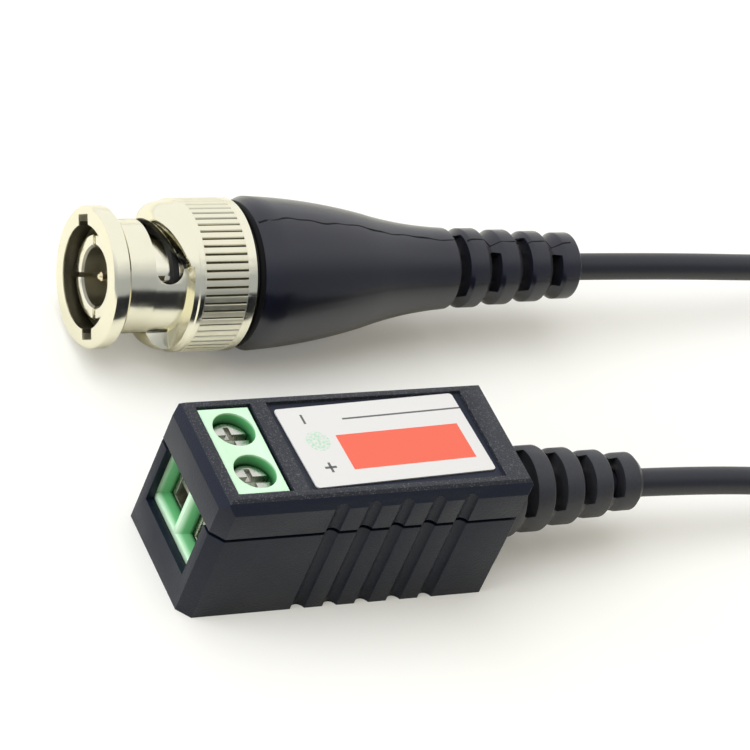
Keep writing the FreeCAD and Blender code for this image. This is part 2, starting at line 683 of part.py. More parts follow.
def make_terminal_block():
    body = new_body("terminal_block")
    sketch = new_sketch(body, "XZ_Plane", f"-{BLOCK_WIDTH} / 2")
    outline(sketch, [
        (BLOCK_FACE, BOARD_TOP),
        (f"{BLOCK_FACE} + block_length", BOARD_TOP),
        (f"{BLOCK_FACE} + block_length", "block_shoulder"),
        ("tower_stop - case_length / 2", "block_shoulder"),
        ("tower_stop - case_length / 2", BLOCK_TOP),
        ("tower_start - case_length / 2", BLOCK_TOP),
        ("tower_start - case_length / 2", "block_shoulder"),
        (BLOCK_FACE, "block_shoulder"),
    ])
    pad(body, sketch, BLOCK_WIDTH)

    # screw wells, and a hole through the shelf under each head
    sketch = new_sketch(body, "XY_Plane", BLOCK_TOP)
    for way in WAYS.values():
        circle(sketch, SCREW_X, way, "well_radius")
    pocket(body, sketch, "well_depth + screw_head_height")
    sketch = new_sketch(body, "XY_Plane", SHELF_TOP)
    for way in WAYS.values():
        circle(sketch, SCREW_X, way, "screw_shank_radius + screw_shelf_play")
    pocket(body, sketch, "shelf_thickness")

    # pockets in which the cages rise, open below the shelf
    left = f"{SCREW_X} - cage_length / 2 - cage_play"
    right = f"{SCREW_X} + cage_length / 2 + cage_play"
    sketch = new_sketch(body, "XY_Plane", "cage_bottom - cage_play")
    for way in WAYS.values():
        rectangle(sketch, left, right, f"{way} - cage_half_width - cage_play", f"{way} + cage_half_width + cage_play")
    pocket(body, sketch, f"{SHELF_TOP} - shelf_thickness - (cage_bottom - cage_play)", reverse=True)

    # wire funnels with four leaning walls, one loft each
    for way in WAYS.values():
        low, high = f"{BOARD_TOP} + funnel_low", "funnel_high"
        half = f"({BLOCK_WIDTH} / 4 - funnel_web)"
        mouth = new_sketch(body, "YZ_Plane", BLOCK_FACE)
        rectangle(mouth, f"{way} - {half}", f"{way} + {half}", low, high)
        throat = new_sketch(body, "YZ_Plane", f"{BLOCK_FACE} + funnel_depth")
        rectangle(throat, f"{way} - {half} + funnel_slope", f"{way} + {half} - funnel_slope",
                  f"{low} + funnel_slope", f"{high} - funnel_slope")
        loft = body.newObject("PartDesign::SubtractiveLoft", "funnel")
        loft.Profile = mouth
        loft.Sections = [throat]
        loft.Ruled = True
        document.recompute()
        sketch = new_sketch(body, "YZ_Plane", f"{BLOCK_FACE} + funnel_depth")
        rectangle(sketch, f"{way} - {half} + funnel_slope", f"{way} + {half} - funnel_slope",
                  f"{low} + funnel_slope", f"{high} - funnel_slope")
        pocket(body, sketch, f"{left} - ({BLOCK_FACE} + funnel_depth)", reverse=True)

    # slots that hold the contact bars and their legs
    sketch = new_sketch(body, "YZ_Plane", right)
    for way in WAYS.values():
        rectangle(sketch, f"{way} - bar_half_width", f"{way} + bar_half_width", f"{BAR_TOP} - bar_thickness", BAR_TOP)
    pocket(body, sketch, "bar_reach - cage_play", reverse=True)
    sketch = new_sketch(body, "XY_Plane", BOARD_TOP)
    for way in WAYS.values():
        rectangle(sketch, f"{right} - cage_play + bar_reach - bar_thickness", f"{right} - cage_play + bar_reach",
                  f"{way} - leg_half_width", f"{way} + leg_half_width")
    pocket(body, sketch, f"{BAR_TOP} - bar_thickness - ({BOARD_TOP})", reverse=True)
    return keep(body, "terminal_block")


def make_clamps():
    for number, way in WAYS.items():
        left, right = f"{SCREW_X} - cage_length / 2", f"{SCREW_X} + cage_length / 2"
        top = f"{ROOF_BOTTOM} + cage_roof"
        shell = box("cage_shell", left, right, f"{way} - cage_half_width", f"{way} + cage_half_width",
                    "cage_bottom", top)
        hollow = box("cage_hollow", f"{left} - 1", f"{right} + 1", f"{way} - cage_half_width + cage_side",
                     f"{way} + cage_half_width - cage_side", "cage_bottom + cage_floor", ROOF_BOTTOM)
        thread = upright("cage_thread", "screw_shank_radius + screw_running_fit", ROOF_BOTTOM, f"{top} + 1",
                         SCREW_X, way)
        keep(cut("cage", shell, fuse("cage_openings", [hollow, thread])), f"clamp_cage_{number}")

        bar_end = f"{right} + bar_reach"
        bar = box("bar", left, bar_end, f"{way} - bar_half_width", f"{way} + bar_half_width",
                  f"{BAR_TOP} - bar_thickness", BAR_TOP)
        leg = box("leg", f"{bar_end} - bar_thickness", bar_end, f"{way} - leg_half_width", f"{way} + leg_half_width",
                  f"{BOARD_TOP} - board_thickness - leg_below", f"{BAR_TOP} - bar_thickness / 2")
        keep(fuse("contact", [bar, leg]), f"contact_bar_{number}")


def make_screws():
    """Each screw is turned on its own Z axis: a bevelled head, then the shank."""
    for number, way in WAYS.items():
        body = new_body("terminal_screw")
        sketch = new_sketch(body, "XZ_Plane")
        head = "well_radius - screw_head_play"
        outline(sketch, [
            ("0", f"{BAR_TOP} + screw_tip_gap"),
            ("screw_shank_radius", f"{BAR_TOP} + screw_tip_gap"),
            ("screw_shank_radius", SHELF_TOP),
            (head, SHELF_TOP),
            (head, f"{SHELF_TOP} + screw_head_height - screw_head_bevel"),
            (f"{head} - screw_head_bevel", f"{SHELF_TOP} + screw_head_height"),
            ("0", f"{SHELF_TOP} + screw_head_height"),
        ])
        feature = body.newObject("PartDesign::Revolution", "screw_turning")
        feature.Profile = sketch
        feature.ReferenceAxis = (origin_feature(body, "Z_Axis"), [""])
        feature.Angle = 360
        document.recompute()
        sketch = new_sketch(body, "XY_Plane", f"{SHELF_TOP} + screw_head_height")
        rectangle(sketch, "-well_radius", "well_radius", "-screw_slot_width / 2", "screw_slot_width / 2")
        pocket(body, sketch, "screw_slot_depth")
        sketch = new_sketch(body, "XY_Plane", f"{SHELF_TOP} + screw_head_height")
        rectangle(sketch, "-screw_cross_width / 2", "screw_cross_width / 2", "-screw_cross_reach", "screw_cross_reach")
        pocket(body, sketch, "screw_slot_depth * 0.8")
        body.setExpression("Placement.Base.x", bound(SCREW_X))
        body.setExpression("Placement.Base.y", bound(way))
        document.recompute()
        keep(body, f"terminal_screw_{number}")


# Board and what stands on it

CORE_MIDDLE = "core_share * case_length"

def make_board():
    low = "floor_thickness + board_rib_height"
    plate = box("board_plate", "wire_wall + board_play - case_length / 2", "case_length / 2 - board_end_gap",
                "side_wall + board_play - case_width / 2", "case_width / 2 - side_wall - board_play", low, BOARD_TOP)
    bar_end = f"{SCREW_X} + cage_length / 2 + bar_reach"
    holes = [box("leg_hole", f"{bar_end} - bar_thickness - leg_hole_play", f"{bar_end} + leg_hole_play",
                 f"{way} - leg_half_width - leg_hole_play", f"{way} + leg_half_width + leg_hole_play",
                 f"{low} - 1", f"{BOARD_TOP} + 1") for way in WAYS.values()]
    keep(cut("board", plate, fuse("leg_holes", holes)), "circuit_board")


def make_balun():
    """The ferrite ring stands on its winding, whose turns are square-cut loops."""
    ring = cut("ring", upright("ring_disc", "core_outer", "0", "core_height", "0", "0"),
               upright("ring_hole", "core_inner", "-1", "core_height + 1", "0", "0"))
    document.recompute()
    rounded = document.addObject("Part::Fillet", "ring_edges")
    rounded.Base = ring
    edges = [number for number, edge in enumerate(ring.Shape.Edges, start=1) if edge.Length > 2 * size("core_inner") * 3]
    rounded.Edges = [(number, size("core_edge"), size("core_edge")) for number in edges]
    rounded.setExpression("Placement.Base.x", bound(CORE_MIDDLE))
    rounded.setExpression("Placement.Base.z", bound(f"{BOARD_TOP} + winding_wire"))
    keep(rounded, "balun_core")

    wire = size("winding_wire")
    inner, outer, height = size("core_inner"), size("core_outer"), size("core_height")
    near, far = inner - size("winding_play"), outer + size("winding_play")
    loop = Part.makeBox(far - near + 2 * wire, wire, height + 2 * wire, FreeCAD.Vector(near - wire, -wire / 2, 0))
    hole = Part.makeBox(far - near, 2 * wire, height, FreeCAD.Vector(near, -wire, wire))
    turn = loop.cut(hole)
    turns = int(size("winding_turns"))
    middle = FreeCAD.Vector(0, 0, 0)
    loops = [turn.copy().rotate(middle, FreeCAD.Vector(0, 0, 1), (number + 0.5) * 360 / turns)
             for number in range(turns)]
    # the wire runs on from turn to turn along the ring's outer foot
    link = Part.makeCylinder(far + wire, wire, middle, FreeCAD.Vector(0, 0, 1), (turns - 1) * 360 / turns)
    link = link.cut(Part.makeCylinder(far, wire))
    link.rotate(middle, FreeCAD.Vector(0, 0, 1), 0.5 * 360 / turns)
    winding = document.addObject("Part::Feature", "winding")
    winding.Shape = loops[0].multiFuse(loops[1:] + [link])
    winding.Placement = FreeCAD.Placement(FreeCAD.Vector(size(CORE_MIDDLE), 0, size(BOARD_TOP)), FreeCAD.Rotation())
    keep(winding, "balun_winding")


def make_board_parts():
    for label, length, width, height, y in (
            ("surge_suppressor", "suppressor_length", "suppressor_width", "suppressor_height", "suppressor_y"),
            ("coupling_capacitor", "capacitor_length", "capacitor_width", "capacitor_height", "capacitor_y")):
        middle = "case_length / 2 - suppressor_from_end"
        item = box(label + "_block", f"{middle} - {length} / 2", f"{middle} + {length} / 2",
                   f"{y} - {width} / 2", f"{y} + {width} / 2", BOARD_TOP, f"{BOARD_TOP} + {height}")
        keep(item, label)


# Ringed sleeves at both ends of the cable

def ring_outline(start, ring_starts, ring_length, radii, groove, gap_after_start):
    """Corners along a ringed tail: each ring, and a V groove in each gap before it."""
    corners = []
    previous_end, previous_radius = start, gap_after_start
    for ring_start, radius in zip(ring_starts, radii):
        middle = f"(({previous_end}) + ({ring_start})) / 2"
        corners.append((middle, f"(({previous_radius}) + ({radius})) / 2 - {groove}"))
        corners.append((f"({ring_start}) + 0.1 * {ring_length}", radius))
        corners.append((f"({ring_start}) + 0.9 * {ring_length}", radius))
        previous_end, previous_radius = f"({ring_start}) + {ring_length}", radius
    return corners


def make_case_relief():
    """Rubber sleeve with four rings; its neck sits in the case's wall and its flange behind it."""
    starts = [f"relief_first_ring + {number} * relief_pitch" for number in range(4)]
    ring = "(relief_pitch - relief_gap)"
    end = "relief_first_ring + 4 * relief_pitch - relief_gap"
    radii = [f"relief_base_radius + (relief_tip_radius - relief_base_radius) * {number + 1} / 4"
             for number in range(4)]
    wall = "-exit_wall"
    corners = [
        (f"{wall} - relief_flange_thickness", "cable_radius"),
        (f"{wall} - relief_flange_thickness", "relief_flange_radius"),
        (wall, "relief_flange_radius"),
        (wall, "relief_neck_radius"),
        ("0", "relief_neck_radius"),
        ("0", "relief_base_radius"),
        ("relief_collar - 0.2", "relief_base_radius - 0.1"),
    ]
    corners += ring_outline("relief_collar", starts, ring, radii, "relief_groove", "relief_base_radius")
    corners += [
        (f"{end} + relief_nose", "relief_nose_radius"),
        (f"{end} + relief_nose", "cable_radius"),
    ]
    body = turned("case_strain_relief", corners)
    for number, start in enumerate(starts):
        sketch = new_sketch(body, "XZ_Plane", tilt="-relief_turn")
        height = f"({radii[number]} - relief_web)"
        front = "relief_collar" if number == 0 else f"{start} - relief_gap"
        rectangle(sketch, front, start, f"-{height}", height)
        pocket(body, sketch)
    keep(lay_exit(body), "case_strain_relief")


def make_plug_boot():
    """Overmoulded boot: swelling body, hollow shoulder and a tail of four rings."""
    starts = [f"tail_ring_first + {number} * tail_ring_pitch" for number in range(4)]
    radii = [f"tail_ring_start_radius + (tail_ring_end_radius - tail_ring_start_radius) * {number} / 3"
             for number in range(4)]
    tail_end = "tail_ring_first + 3 * tail_ring_pitch + tail_ring_length"
    corners = [
        ("boot_start", "tail_radius"),
        ("boot_start", "boot_lip_radius"),
        ("boot_start + boot_lip_length", "boot_radius"),
        ("boot_waist", "boot_waist_radius", "boot_swell_round"),
        ("boot_tail_start", "boot_tail_radius", "-boot_hollow_round"),
    ]
    corners += ring_outline("boot_tail_start", starts, "tail_ring_length", radii, "tail_groove", "boot_tail_radius")
    corners += [
        (f"{tail_end} + tail_nose", "tail_nose_radius"),
        (f"{tail_end} + tail_nose", "cable_radius"),
        ("ferrule_end", "cable_radius"),
        ("ferrule_end", "cable_radius + ferrule_wall"),
        ("ferrule_step", "cable_radius + ferrule_wall"),
        ("ferrule_step", "stem_radius + ferrule_wall"),
        ("tail_end", "stem_radius + ferrule_wall"),
        ("tail_end", "tail_radius"),
    ]
    body = turned("plug_boot", corners)
    for number, start in enumerate(starts):
        kind = "even" if number % 2 else "odd"
        sketch = new_sketch(body, "XZ_Plane", tilt=f"-tail_{kind}_turn")
        height = f"({radii[number]} - tail_{kind}_web)"
        gap = "(tail_ring_pitch - tail_ring_length)"
        rectangle(sketch, f"{start} - 0.8 * {gap}", f"{start} - 0.1 * {gap}", f"-{height}", height)
        pocket(body, sketch)
    keep(lay_plug(body), "plug_boot")


# Bayonet plug

def wrapped_wedge(turns, fronts, backs, inner, outer):
    """A solid that runs round the X axis: a radial section at each turn, from front to back."""
    sections = []
    for turn, front, back in zip(turns, fronts, backs):
        across = FreeCAD.Vector(0, math.cos(math.radians(turn)), math.sin(math.radians(turn)))
        near, far = FreeCAD.Vector(front, 0, 0), FreeCAD.Vector(back, 0, 0)
        corners = [near + across * inner, far + across * inner, far + across * outer, near + across * outer]
        sections.append(Part.makePolygon(corners + corners[:1]))
    return Part.makeLoft(sections, True, True)


def make_slot_cutter():
    """Both bayonet slots, with their detents and entry channels, and the cut shoulder behind them."""
    entry, sweep = size("lug_entry_turn"), size("slot_sweep")
    inner, sleeve, outer = size("contact_radius + 0.4"), size("nut_sleeve_radius"), size("nut_ring_radius + 1")
    shares = [number / 12 for number in range(13)]
    rise = size("slot_back_end - slot_back_start")
    slot = wrapped_wedge([entry + 5 + share * (sweep - 5) for share in shares], [size("slot_front")] * 13,
                         [size("slot_back_start") + rise * share ** 1.7 for share in shares], inner, outer)
    rest = size("ramp_sweep") - sweep
    ramp = wrapped_wedge([entry + sweep + share * rest for share in shares], [size("slot_front")] * 13,
                         [size("ramp_end")] * 13, sleeve, outer)
    turn = math.radians(entry + sweep)
    across = FreeCAD.Vector(0, math.cos(turn), math.sin(turn))
    place = FreeCAD.Vector(size("slot_front + detent_radius"), 0, 0) + across * inner
    detent = Part.makeCylinder(size("detent_radius"), outer - inner, place, across)
    half = size("lug_width") / 2
    channel = Part.makeBox(size("slot_front") + 2, size("lug_radius") - inner, 2 * half,
                           FreeCAD.Vector(-1, inner, -half))
    channel.rotate(FreeCAD.Vector(0, 0, 0), FreeCAD.Vector(1, 0, 0), entry)
    one = slot.multiFuse([detent, channel, ramp])
    other = one.copy()
    other.rotate(FreeCAD.Vector(0, 0, 0), FreeCAD.Vector(1, 0, 0), 180)
    cutter = document.addObject("Part::Feature", "slot_cutter")
    cutter.Shape = Part.makeCompound([one, other])
    return cutter


def make_coupling_nut():
    rim = "nut_ring_radius"
    body = turned("nut_blank", [
        ("0", "nut_bore"),
        ("0", "nut_collar_radius - nut_edge"),
        ("nut_edge", "nut_collar_radius"),
        ("nut_collar_length - nut_edge", "nut_collar_radius"),
        ("nut_collar_length", "nut_collar_radius - nut_edge"),
        ("nut_collar_length", "nut_sleeve_radius"),
        ("nut_shoulder_start", "nut_sleeve_radius"),
        ("nut_shoulder_end", "nut_shoulder_radius", "nut_shoulder_round"),
        ("nut_ring_start", f"{rim} - nut_edge / 2"),
        ("nut_ring_start + nut_edge / 2", rim),
        ("nut_length - nut_edge", rim),
        ("nut_length", f"{rim} - nut_edge"),
        ("nut_length", "nut_skirt_bore"),
        ("nut_seat_end", "nut_skirt_bore"),
        ("nut_seat_end", "contact_radius + nut_running_fit"),
        ("nut_seat_start", "contact_radius + nut_running_fit"),
        ("nut_seat_start", "nut_bore"),
    ])
    # one V groove of the knurl, then the whole ring of them
    sketch = new_sketch(body, "YZ_Plane", "nut_knurl_start")
    outline(sketch, [
        ("-knurl_half_width", "nut_ring_radius + 0.1"),
        ("0", "nut_ring_radius - knurl_depth"),
        ("knurl_half_width", "nut_ring_radius + 0.1"),
    ])
    groove = pocket(body, sketch, "nut_knurl_end - nut_knurl_start", reverse=True)
    knurl = body.newObject("PartDesign::PolarPattern", "knurl")
    knurl.Originals = [groove]
    knurl.Axis = (origin_feature(body, "X_Axis"), [""])
    knurl.Angle = 360
    knurl.Occurrences = int(size("knurl_count"))
    body.Tip = knurl
    document.recompute()
    keep(lay_plug(cut("nut", body, make_slot_cutter())), "coupling_nut")


def make_plug_body():
    """One turned piece: slotted contact, flange, neck with the ring's groove, tail and crimp stem."""
    groove_start = "nut_seat_end + ring_play"
    groove_end = f"{groove_start} + ring_thickness"
    body = turned("plug_body", [
        ("contact_front", "contact_bore + contact_edge"),
        ("contact_front", "contact_radius - contact_edge / 2"),
        ("contact_front + contact_edge / 2", "contact_radius"),
        ("flange_start", "contact_radius"),
        ("flange_start", "flange_radius"),
        ("flange_end", "flange_radius"),
        ("flange_end", "contact_radius"),
        (groove_start, "contact_radius"),
        (groove_start, "contact_radius - ring_groove"),
        (groove_end, "contact_radius - ring_groove"),
        (groove_end, "tail_radius"),
        ("tail_end", "tail_radius"),
        ("tail_end", "stem_radius"),
        ("stem_end", "stem_radius"),
        ("stem_end", "stem_bore"),
        ("insulator_end", "stem_bore"),
        ("insulator_end", "contact_bore"),
        ("contact_front + contact_edge", "contact_bore"),
    ])
    sketch = new_sketch(body, "YZ_Plane", "contact_front")
    half = "contact_slit / 2"
    rectangle(sketch, f"-{half}", half, "contact_bore - 1", "contact_radius + 1")
    slit = pocket(body, sketch, "contact_slit_end - contact_front", reverse=True)
    slits = body.newObject("PartDesign::PolarPattern", "slits")
    slits.Originals = [slit]
    slits.Axis = (origin_feature(body, "X_Axis"), [""])
    slits.Angle = 360
    slits.Occurrences = 4
    body.Tip = slits
    document.recompute()
    keep(lay_plug(body, "plug_roll"), "plug_body")


def make_plug_inside():
    insulator = tube("insulator", "insulator_start", "insulator_end", "pin_radius + insulator_play",
                     "contact_bore - insulator_play")
    keep(lay_plug(insulator), "front_insulator")
    pin = turned("pin", [
        ("pin_start", "0"),
        ("pin_start", "pin_tip_radius / 2"),
        ("pin_start + pin_tip_radius / 2", "pin_tip_radius"),
        ("pin_taper", "pin_tip_radius"),
        ("pin_taper + 0.4", "pin_radius"),
        ("insulator_end", "pin_radius"),
        ("insulator_end", "0"),
    ])
    keep(lay_plug(pin), "centre_pin")
    core = turned("core", [("insulator_end", "0"), ("insulator_end", "stem_bore - 0.1"),
                           ("stem_end", "stem_bore - 0.1"), ("stem_end", "0")])
    keep(lay_plug(core), "coax_core")
    gasket = tube("gasket", "flange_start - gasket_thickness", "flange_start", "contact_radius", "flange_radius")
    keep(lay_plug(gasket), "mating_gasket")
    outer = "nut_bore - thrust_play"
    inner = "contact_radius + nut_running_fit"
    thrust = tube("thrust", "nut_seat_start - thrust_thickness", "nut_seat_start", inner, outer)
    keep(lay_plug(thrust), "thrust_washer")
    wave = tube("wave", "flange_end", "nut_seat_start - thrust_thickness", inner, "flange_radius - 0.1")
    keep(lay_plug(wave), "wave_washer")

    clip = tube("clip", "nut_seat_end + ring_play", "nut_seat_end + ring_play + ring_thickness",
                "contact_radius - ring_groove + ring_play / 2", "ring_radius")
    sketch = new_sketch(clip, "YZ_Plane", "nut_seat_end + ring_play")
    reach = "ring_radius + 1"
    outline(sketch, [("0", "0"), (f"-({reach}) * tan(ring_mouth / 2 * 1 deg)", f"-({reach})"),
                     (f"({reach}) * tan(ring_mouth / 2 * 1 deg)", f"-({reach})")])
    pocket(clip, sketch, "ring_thickness", reverse=True)
    keep(lay_plug(clip), "retaining_ring")

    ferrule = turned("ferrule", [
        ("ferrule_start", "stem_radius"),
        ("ferrule_start", "stem_radius + ferrule_wall"),
        ("ferrule_step", "stem_radius + ferrule_wall"),
        ("ferrule_step", "cable_radius + ferrule_wall"),
        ("ferrule_end", "cable_radius + ferrule_wall"),
        ("ferrule_end", "cable_radius"),
        ("stem_end", "cable_radius"),
        ("stem_end", "stem_radius"),
    ])
    keep(lay_plug(ferrule), "crimp_ferrule")


# Cable and its soldered leads

def plug_point(along):
    """A point on the plug's axis, at a distance behind the front of the nut."""
    turn = math.radians(size("plug_turn"))
    start = FreeCAD.Vector(size("plug_x"), size("plug_y"), size("plug_z"))
    return start + FreeCAD.Vector(math.cos(turn), math.sin(turn), 0) * along


def bent_path(points):
    """Straight runs joined by arcs, each as large as its two runs allow. Prints the smallest radius."""
    edges, radii = [], []
    last = points[0]
    for before, corner, after in zip(points, points[1:], points[2:]):
        arriving, leaving = (before - corner), (after - corner)
        shorter = min(arriving.Length, leaving.Length)
        trim = 0.45 * shorter
        start = corner + arriving.normalize() * trim
        end = corner + leaving.normalize() * trim
        half_turn = (math.pi - arriving.getAngle(leaving)) / 2
        radius = trim / math.tan(half_turn)
        inward = (arriving + leaving).normalize()
        middle = corner + inward * (radius / math.cos(half_turn) - radius)
        edges.append(Part.LineSegment(last, start).toShape())
        edges.append(Part.Arc(start, middle, end).toShape())
        radii.append(radius)
        last = end
    edges.append(Part.LineSegment(last, points[-1]).toShape())
    return Part.Wire(edges), radii


def cord(label, points, radius):
    """Sweep a round section along a bent path, and compare its volume with section times length."""
    path, radii = bent_path(points)
    start = points[0]
    section = Part.Wire([Part.makeCircle(radius, start, points[1] - start)])
    solid = path.makePipeShell([section], True, True)
    expected = math.pi * radius ** 2 * path.Length
    print(f"{label}: length {path.Length:.1f}, radii {', '.join(f'{bend:.1f}' for bend in radii)}, "
          f"volume {solid.Volume:.2f} of {expected:.2f}")
    if abs(solid.Volume / expected - 1) > 0.01:
        raise RuntimeError(f"{label} has the wrong volume")
    item = document.addObject("Part::Feature", label + "_sweep")
    item.Shape = solid
    return keep(item, label)


CABLE_ROUTE = [
    (35.0, 0.0, 6.15),
    (57.5, -0.6, 4.2),
    (79.0, -2.8, 1.4),
    (97.5, -3.0, 1.4),
    (108.5, 6.5, 1.4),
    (109.5, 19.5, 1.4),
    (101.1, 29.8, 1.4),
    (89.0, 31.9, 1.4),
    (73.2, 28.4, 4.4),
]


def make_cable():
    """The jacket starts inside the case's sleeve and ends inside the plug's crimp ferrule."""
    inside = FreeCAD.Vector(size("case_length / 2 - exit_wall - relief_flange_thickness - jacket_inside"), 0, size("exit_height"))
    middle = [FreeCAD.Vector(*point) for point in CABLE_ROUTE]
    tail = size("tail_ring_first + 3 * tail_ring_pitch + tail_ring_length + tail_nose")
    route = [inside] + middle + [plug_point(tail + size("jacket_straight")), plug_point(size("stem_end"))]
    cord("coax_cable", route, size("cable_radius"))


def make_leads():
    """Short soldered ends: the centre lead and the twisted shield, from the jacket's end to the board."""
    start_x = size("case_length / 2 - exit_wall - relief_flange_thickness - jacket_inside")
    for label, side, radius in (("coax_core_lead", 1, "core_lead_radius"), ("coax_shield_lead", -1, "shield_lead_radius")):
        height, board = size("exit_height"), size(BOARD_TOP)
        across = side * size("lead_side")
        points = [FreeCAD.Vector(start_x, across, height),
                  FreeCAD.Vector(start_x - size("lead_straight"), across * 1.6, height),
                  FreeCAD.Vector(start_x - size("lead_reach"), across * 2, board + 0.5 * size(radius))]
        cord(label, points, size(radius))


make_lower_shell()
make_upper_shell()
make_label()
make_terminal_block()
make_clamps()
make_screws()
make_board()
make_balun()
make_board_parts()
make_case_relief()
make_plug_boot()
make_coupling_nut()
make_plug_body()
make_plug_inside()
make_cable()
make_leads()
document.recompute()

for item in document.Objects:
    if "Invalid" in item.State or "Error" in item.State:
        raise RuntimeError(f"{item.Name} ({item.Label}) failed: {item.State}")

os.makedirs("parts", exist_ok=True)
for item in finished:
    if item.Shape.isNull() or not item.Shape.isValid():
        raise RuntimeError(f"{item.Label} has no valid shape")
    item.Shape.exportStep(f"parts/{item.Label}.step")
    print(f"{item.Label}: {len(item.Shape.Solids)} solid, volume {item.Shape.Volume:.2f}")
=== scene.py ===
# %% [markdown]
# # A video balun, dressed
# The object is a small adapter: a black plastic case with two screw terminals, a short pigtail
# of coaxial cable, and a bayonet plug in a soft boot. Its solids come packed from the CAD
# source, in metres. This lesson loads them as a fixed frame, then gives every piece its finish.

# %% Load the solids
import json
import math

import bpy
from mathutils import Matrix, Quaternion, Vector

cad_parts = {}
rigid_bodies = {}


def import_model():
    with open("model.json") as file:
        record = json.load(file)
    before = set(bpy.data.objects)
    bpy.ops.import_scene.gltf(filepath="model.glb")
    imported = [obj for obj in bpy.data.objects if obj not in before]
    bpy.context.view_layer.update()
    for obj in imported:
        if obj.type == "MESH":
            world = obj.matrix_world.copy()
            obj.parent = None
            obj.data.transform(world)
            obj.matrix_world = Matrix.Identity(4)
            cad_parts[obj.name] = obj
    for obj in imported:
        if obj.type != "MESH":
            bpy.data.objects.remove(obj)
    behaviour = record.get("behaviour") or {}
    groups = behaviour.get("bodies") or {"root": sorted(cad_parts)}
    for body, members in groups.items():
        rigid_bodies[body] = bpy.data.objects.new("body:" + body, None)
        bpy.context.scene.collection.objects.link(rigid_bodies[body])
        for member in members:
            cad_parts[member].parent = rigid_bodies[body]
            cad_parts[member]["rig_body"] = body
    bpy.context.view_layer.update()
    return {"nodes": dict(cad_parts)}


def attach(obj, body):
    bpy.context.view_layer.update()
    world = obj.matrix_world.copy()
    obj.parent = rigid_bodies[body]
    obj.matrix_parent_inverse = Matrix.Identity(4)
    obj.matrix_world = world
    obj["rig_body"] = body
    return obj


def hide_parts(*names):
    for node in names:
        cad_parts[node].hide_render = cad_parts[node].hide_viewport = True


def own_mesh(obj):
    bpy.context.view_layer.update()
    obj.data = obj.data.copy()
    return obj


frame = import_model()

MM = 0.001


def mm(*numbers):
    """A place or size in millimetres, as a vector in Blender's metres."""
    return Vector(numbers) * MM


# %% [markdown]
# ## The camera
# The photograph was taken with a long lens from above the terminal end, with the camera tilted.
# A long lens flattens perspective, so the case's edges stay almost parallel. The camera is put
# at the end of its line of sight and rolled about that line.

# %% Camera
AIM = mm(9.934, 13.735, 8.0)
SIGHT_TURN, SIGHT_DROP, CAMERA_ROLL = 39.982, 39.158, 24.628
SIGHT_LENGTH = 368.925 * MM
FOCAL_PIXELS, PICTURE_PIXELS = 3969.4, 750

turn, drop = math.radians(SIGHT_TURN), math.radians(SIGHT_DROP)
sight = Vector((math.sin(turn) * math.cos(drop), math.cos(turn) * math.cos(drop),
                -math.sin(drop)))
camera = bpy.data.objects.new("camera", bpy.data.cameras.new("camera"))
bpy.context.scene.collection.objects.link(camera)
camera.location = AIM - sight * SIGHT_LENGTH
camera.rotation_mode = "QUATERNION"
camera.rotation_quaternion = (sight.to_track_quat("-Z", "Y")
                              @ Quaternion((0, 0, 1), math.radians(CAMERA_ROLL)))
camera.data.sensor_width = 36
camera.data.lens = camera.data.sensor_width * FOCAL_PIXELS / PICTURE_PIXELS
camera.data.clip_start, camera.data.clip_end = 0.01, 10
bpy.context.scene.camera = camera
bpy.context.scene.view_settings.view_transform = "Standard"
print(f"lens {camera.data.lens:.1f} mm")


# %% [markdown]
# ## The cable
# The pigtail leaves the case, drops to the table under its own weight, turns back in one loop
# and rises into the plug's boot. A few control points and a smooth NURBS line make a cable that
# bends as a real one does: the line passes inside the corners of its control points.

# %% Cable
CABLE_RADIUS = 1.35 * MM
CABLE_ROUTE = [
    mm(12.6, 0, 6.15), mm(35, 0, 6.15), mm(57.5, -0.6, 4.2), mm(79, -2.8, 1.4), mm(97.5, -3, 1.4),
    mm(108.5, 6.5, 1.4), mm(109.5, 19.5, 1.4), mm(101.1, 29.8, 1.4), mm(89, 31.9, 1.4),
    mm(73.2, 28.4, 4.4), mm(41.277, 27.693, 7.3), mm(9.944, 28.376, 7.3)]

line = bpy.data.curves.new("cable_jacket", "CURVE")
line.dimensions = "3D"
spline = line.splines.new("NURBS")
spline.points.add(len(CABLE_ROUTE) - 1)
for point, place in zip(spline.points, CABLE_ROUTE):
    point.co = (*place, 1)
    point.radius = CABLE_RADIUS
spline.order_u = 3
spline.use_endpoint_u = True
spline.resolution_u = 24
line.bevel_depth = 1
line.bevel_resolution = 8
line.use_fill_caps = True
cable = bpy.data.objects.new("cable_jacket", line)
bpy.context.scene.collection.objects.link(cable)
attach(cable, "case")
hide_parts("coax_cable")
print(f"cable: {len(spline.points)} control points, {2 * CABLE_RADIUS / MM:.2f} mm thick")


# %% [markdown]
# ## Shader maths in plain Python
# Most finishes need a little arithmetic on noise and place. Drawing those nodes one by one hides
# the idea, so `Socket` wraps a node's output and Python's own operators add the Math nodes.

# %% Sockets that can be added and multiplied
class Socket:
    """An output of a node. Arithmetic on it adds Math nodes to the same tree."""

    def __init__(self, finish, plug):
        self.finish, self.plug = finish, plug

    def maths(self, operation, *values):
        return self.finish.node("Math", {"operation": operation}, dict(enumerate(values)))

    def __add__(self, other):
        return self.maths("ADD", self, other)

    def __radd__(self, other):
        return self.maths("ADD", other, self)

    def __sub__(self, other):
        return self.maths("SUBTRACT", self, other)

    def __rsub__(self, other):
        return self.maths("SUBTRACT", other, self)

    def __mul__(self, other):
        return self.maths("MULTIPLY", self, other)

    def __rmul__(self, other):
        return self.maths("MULTIPLY", other, self)

    def __gt__(self, other):
        return self.maths("GREATER_THAN", self, other)

    def __lt__(self, other):
        return self.maths("LESS_THAN", self, other)

    def least(self, other):
        return self.maths("MINIMUM", self, other)


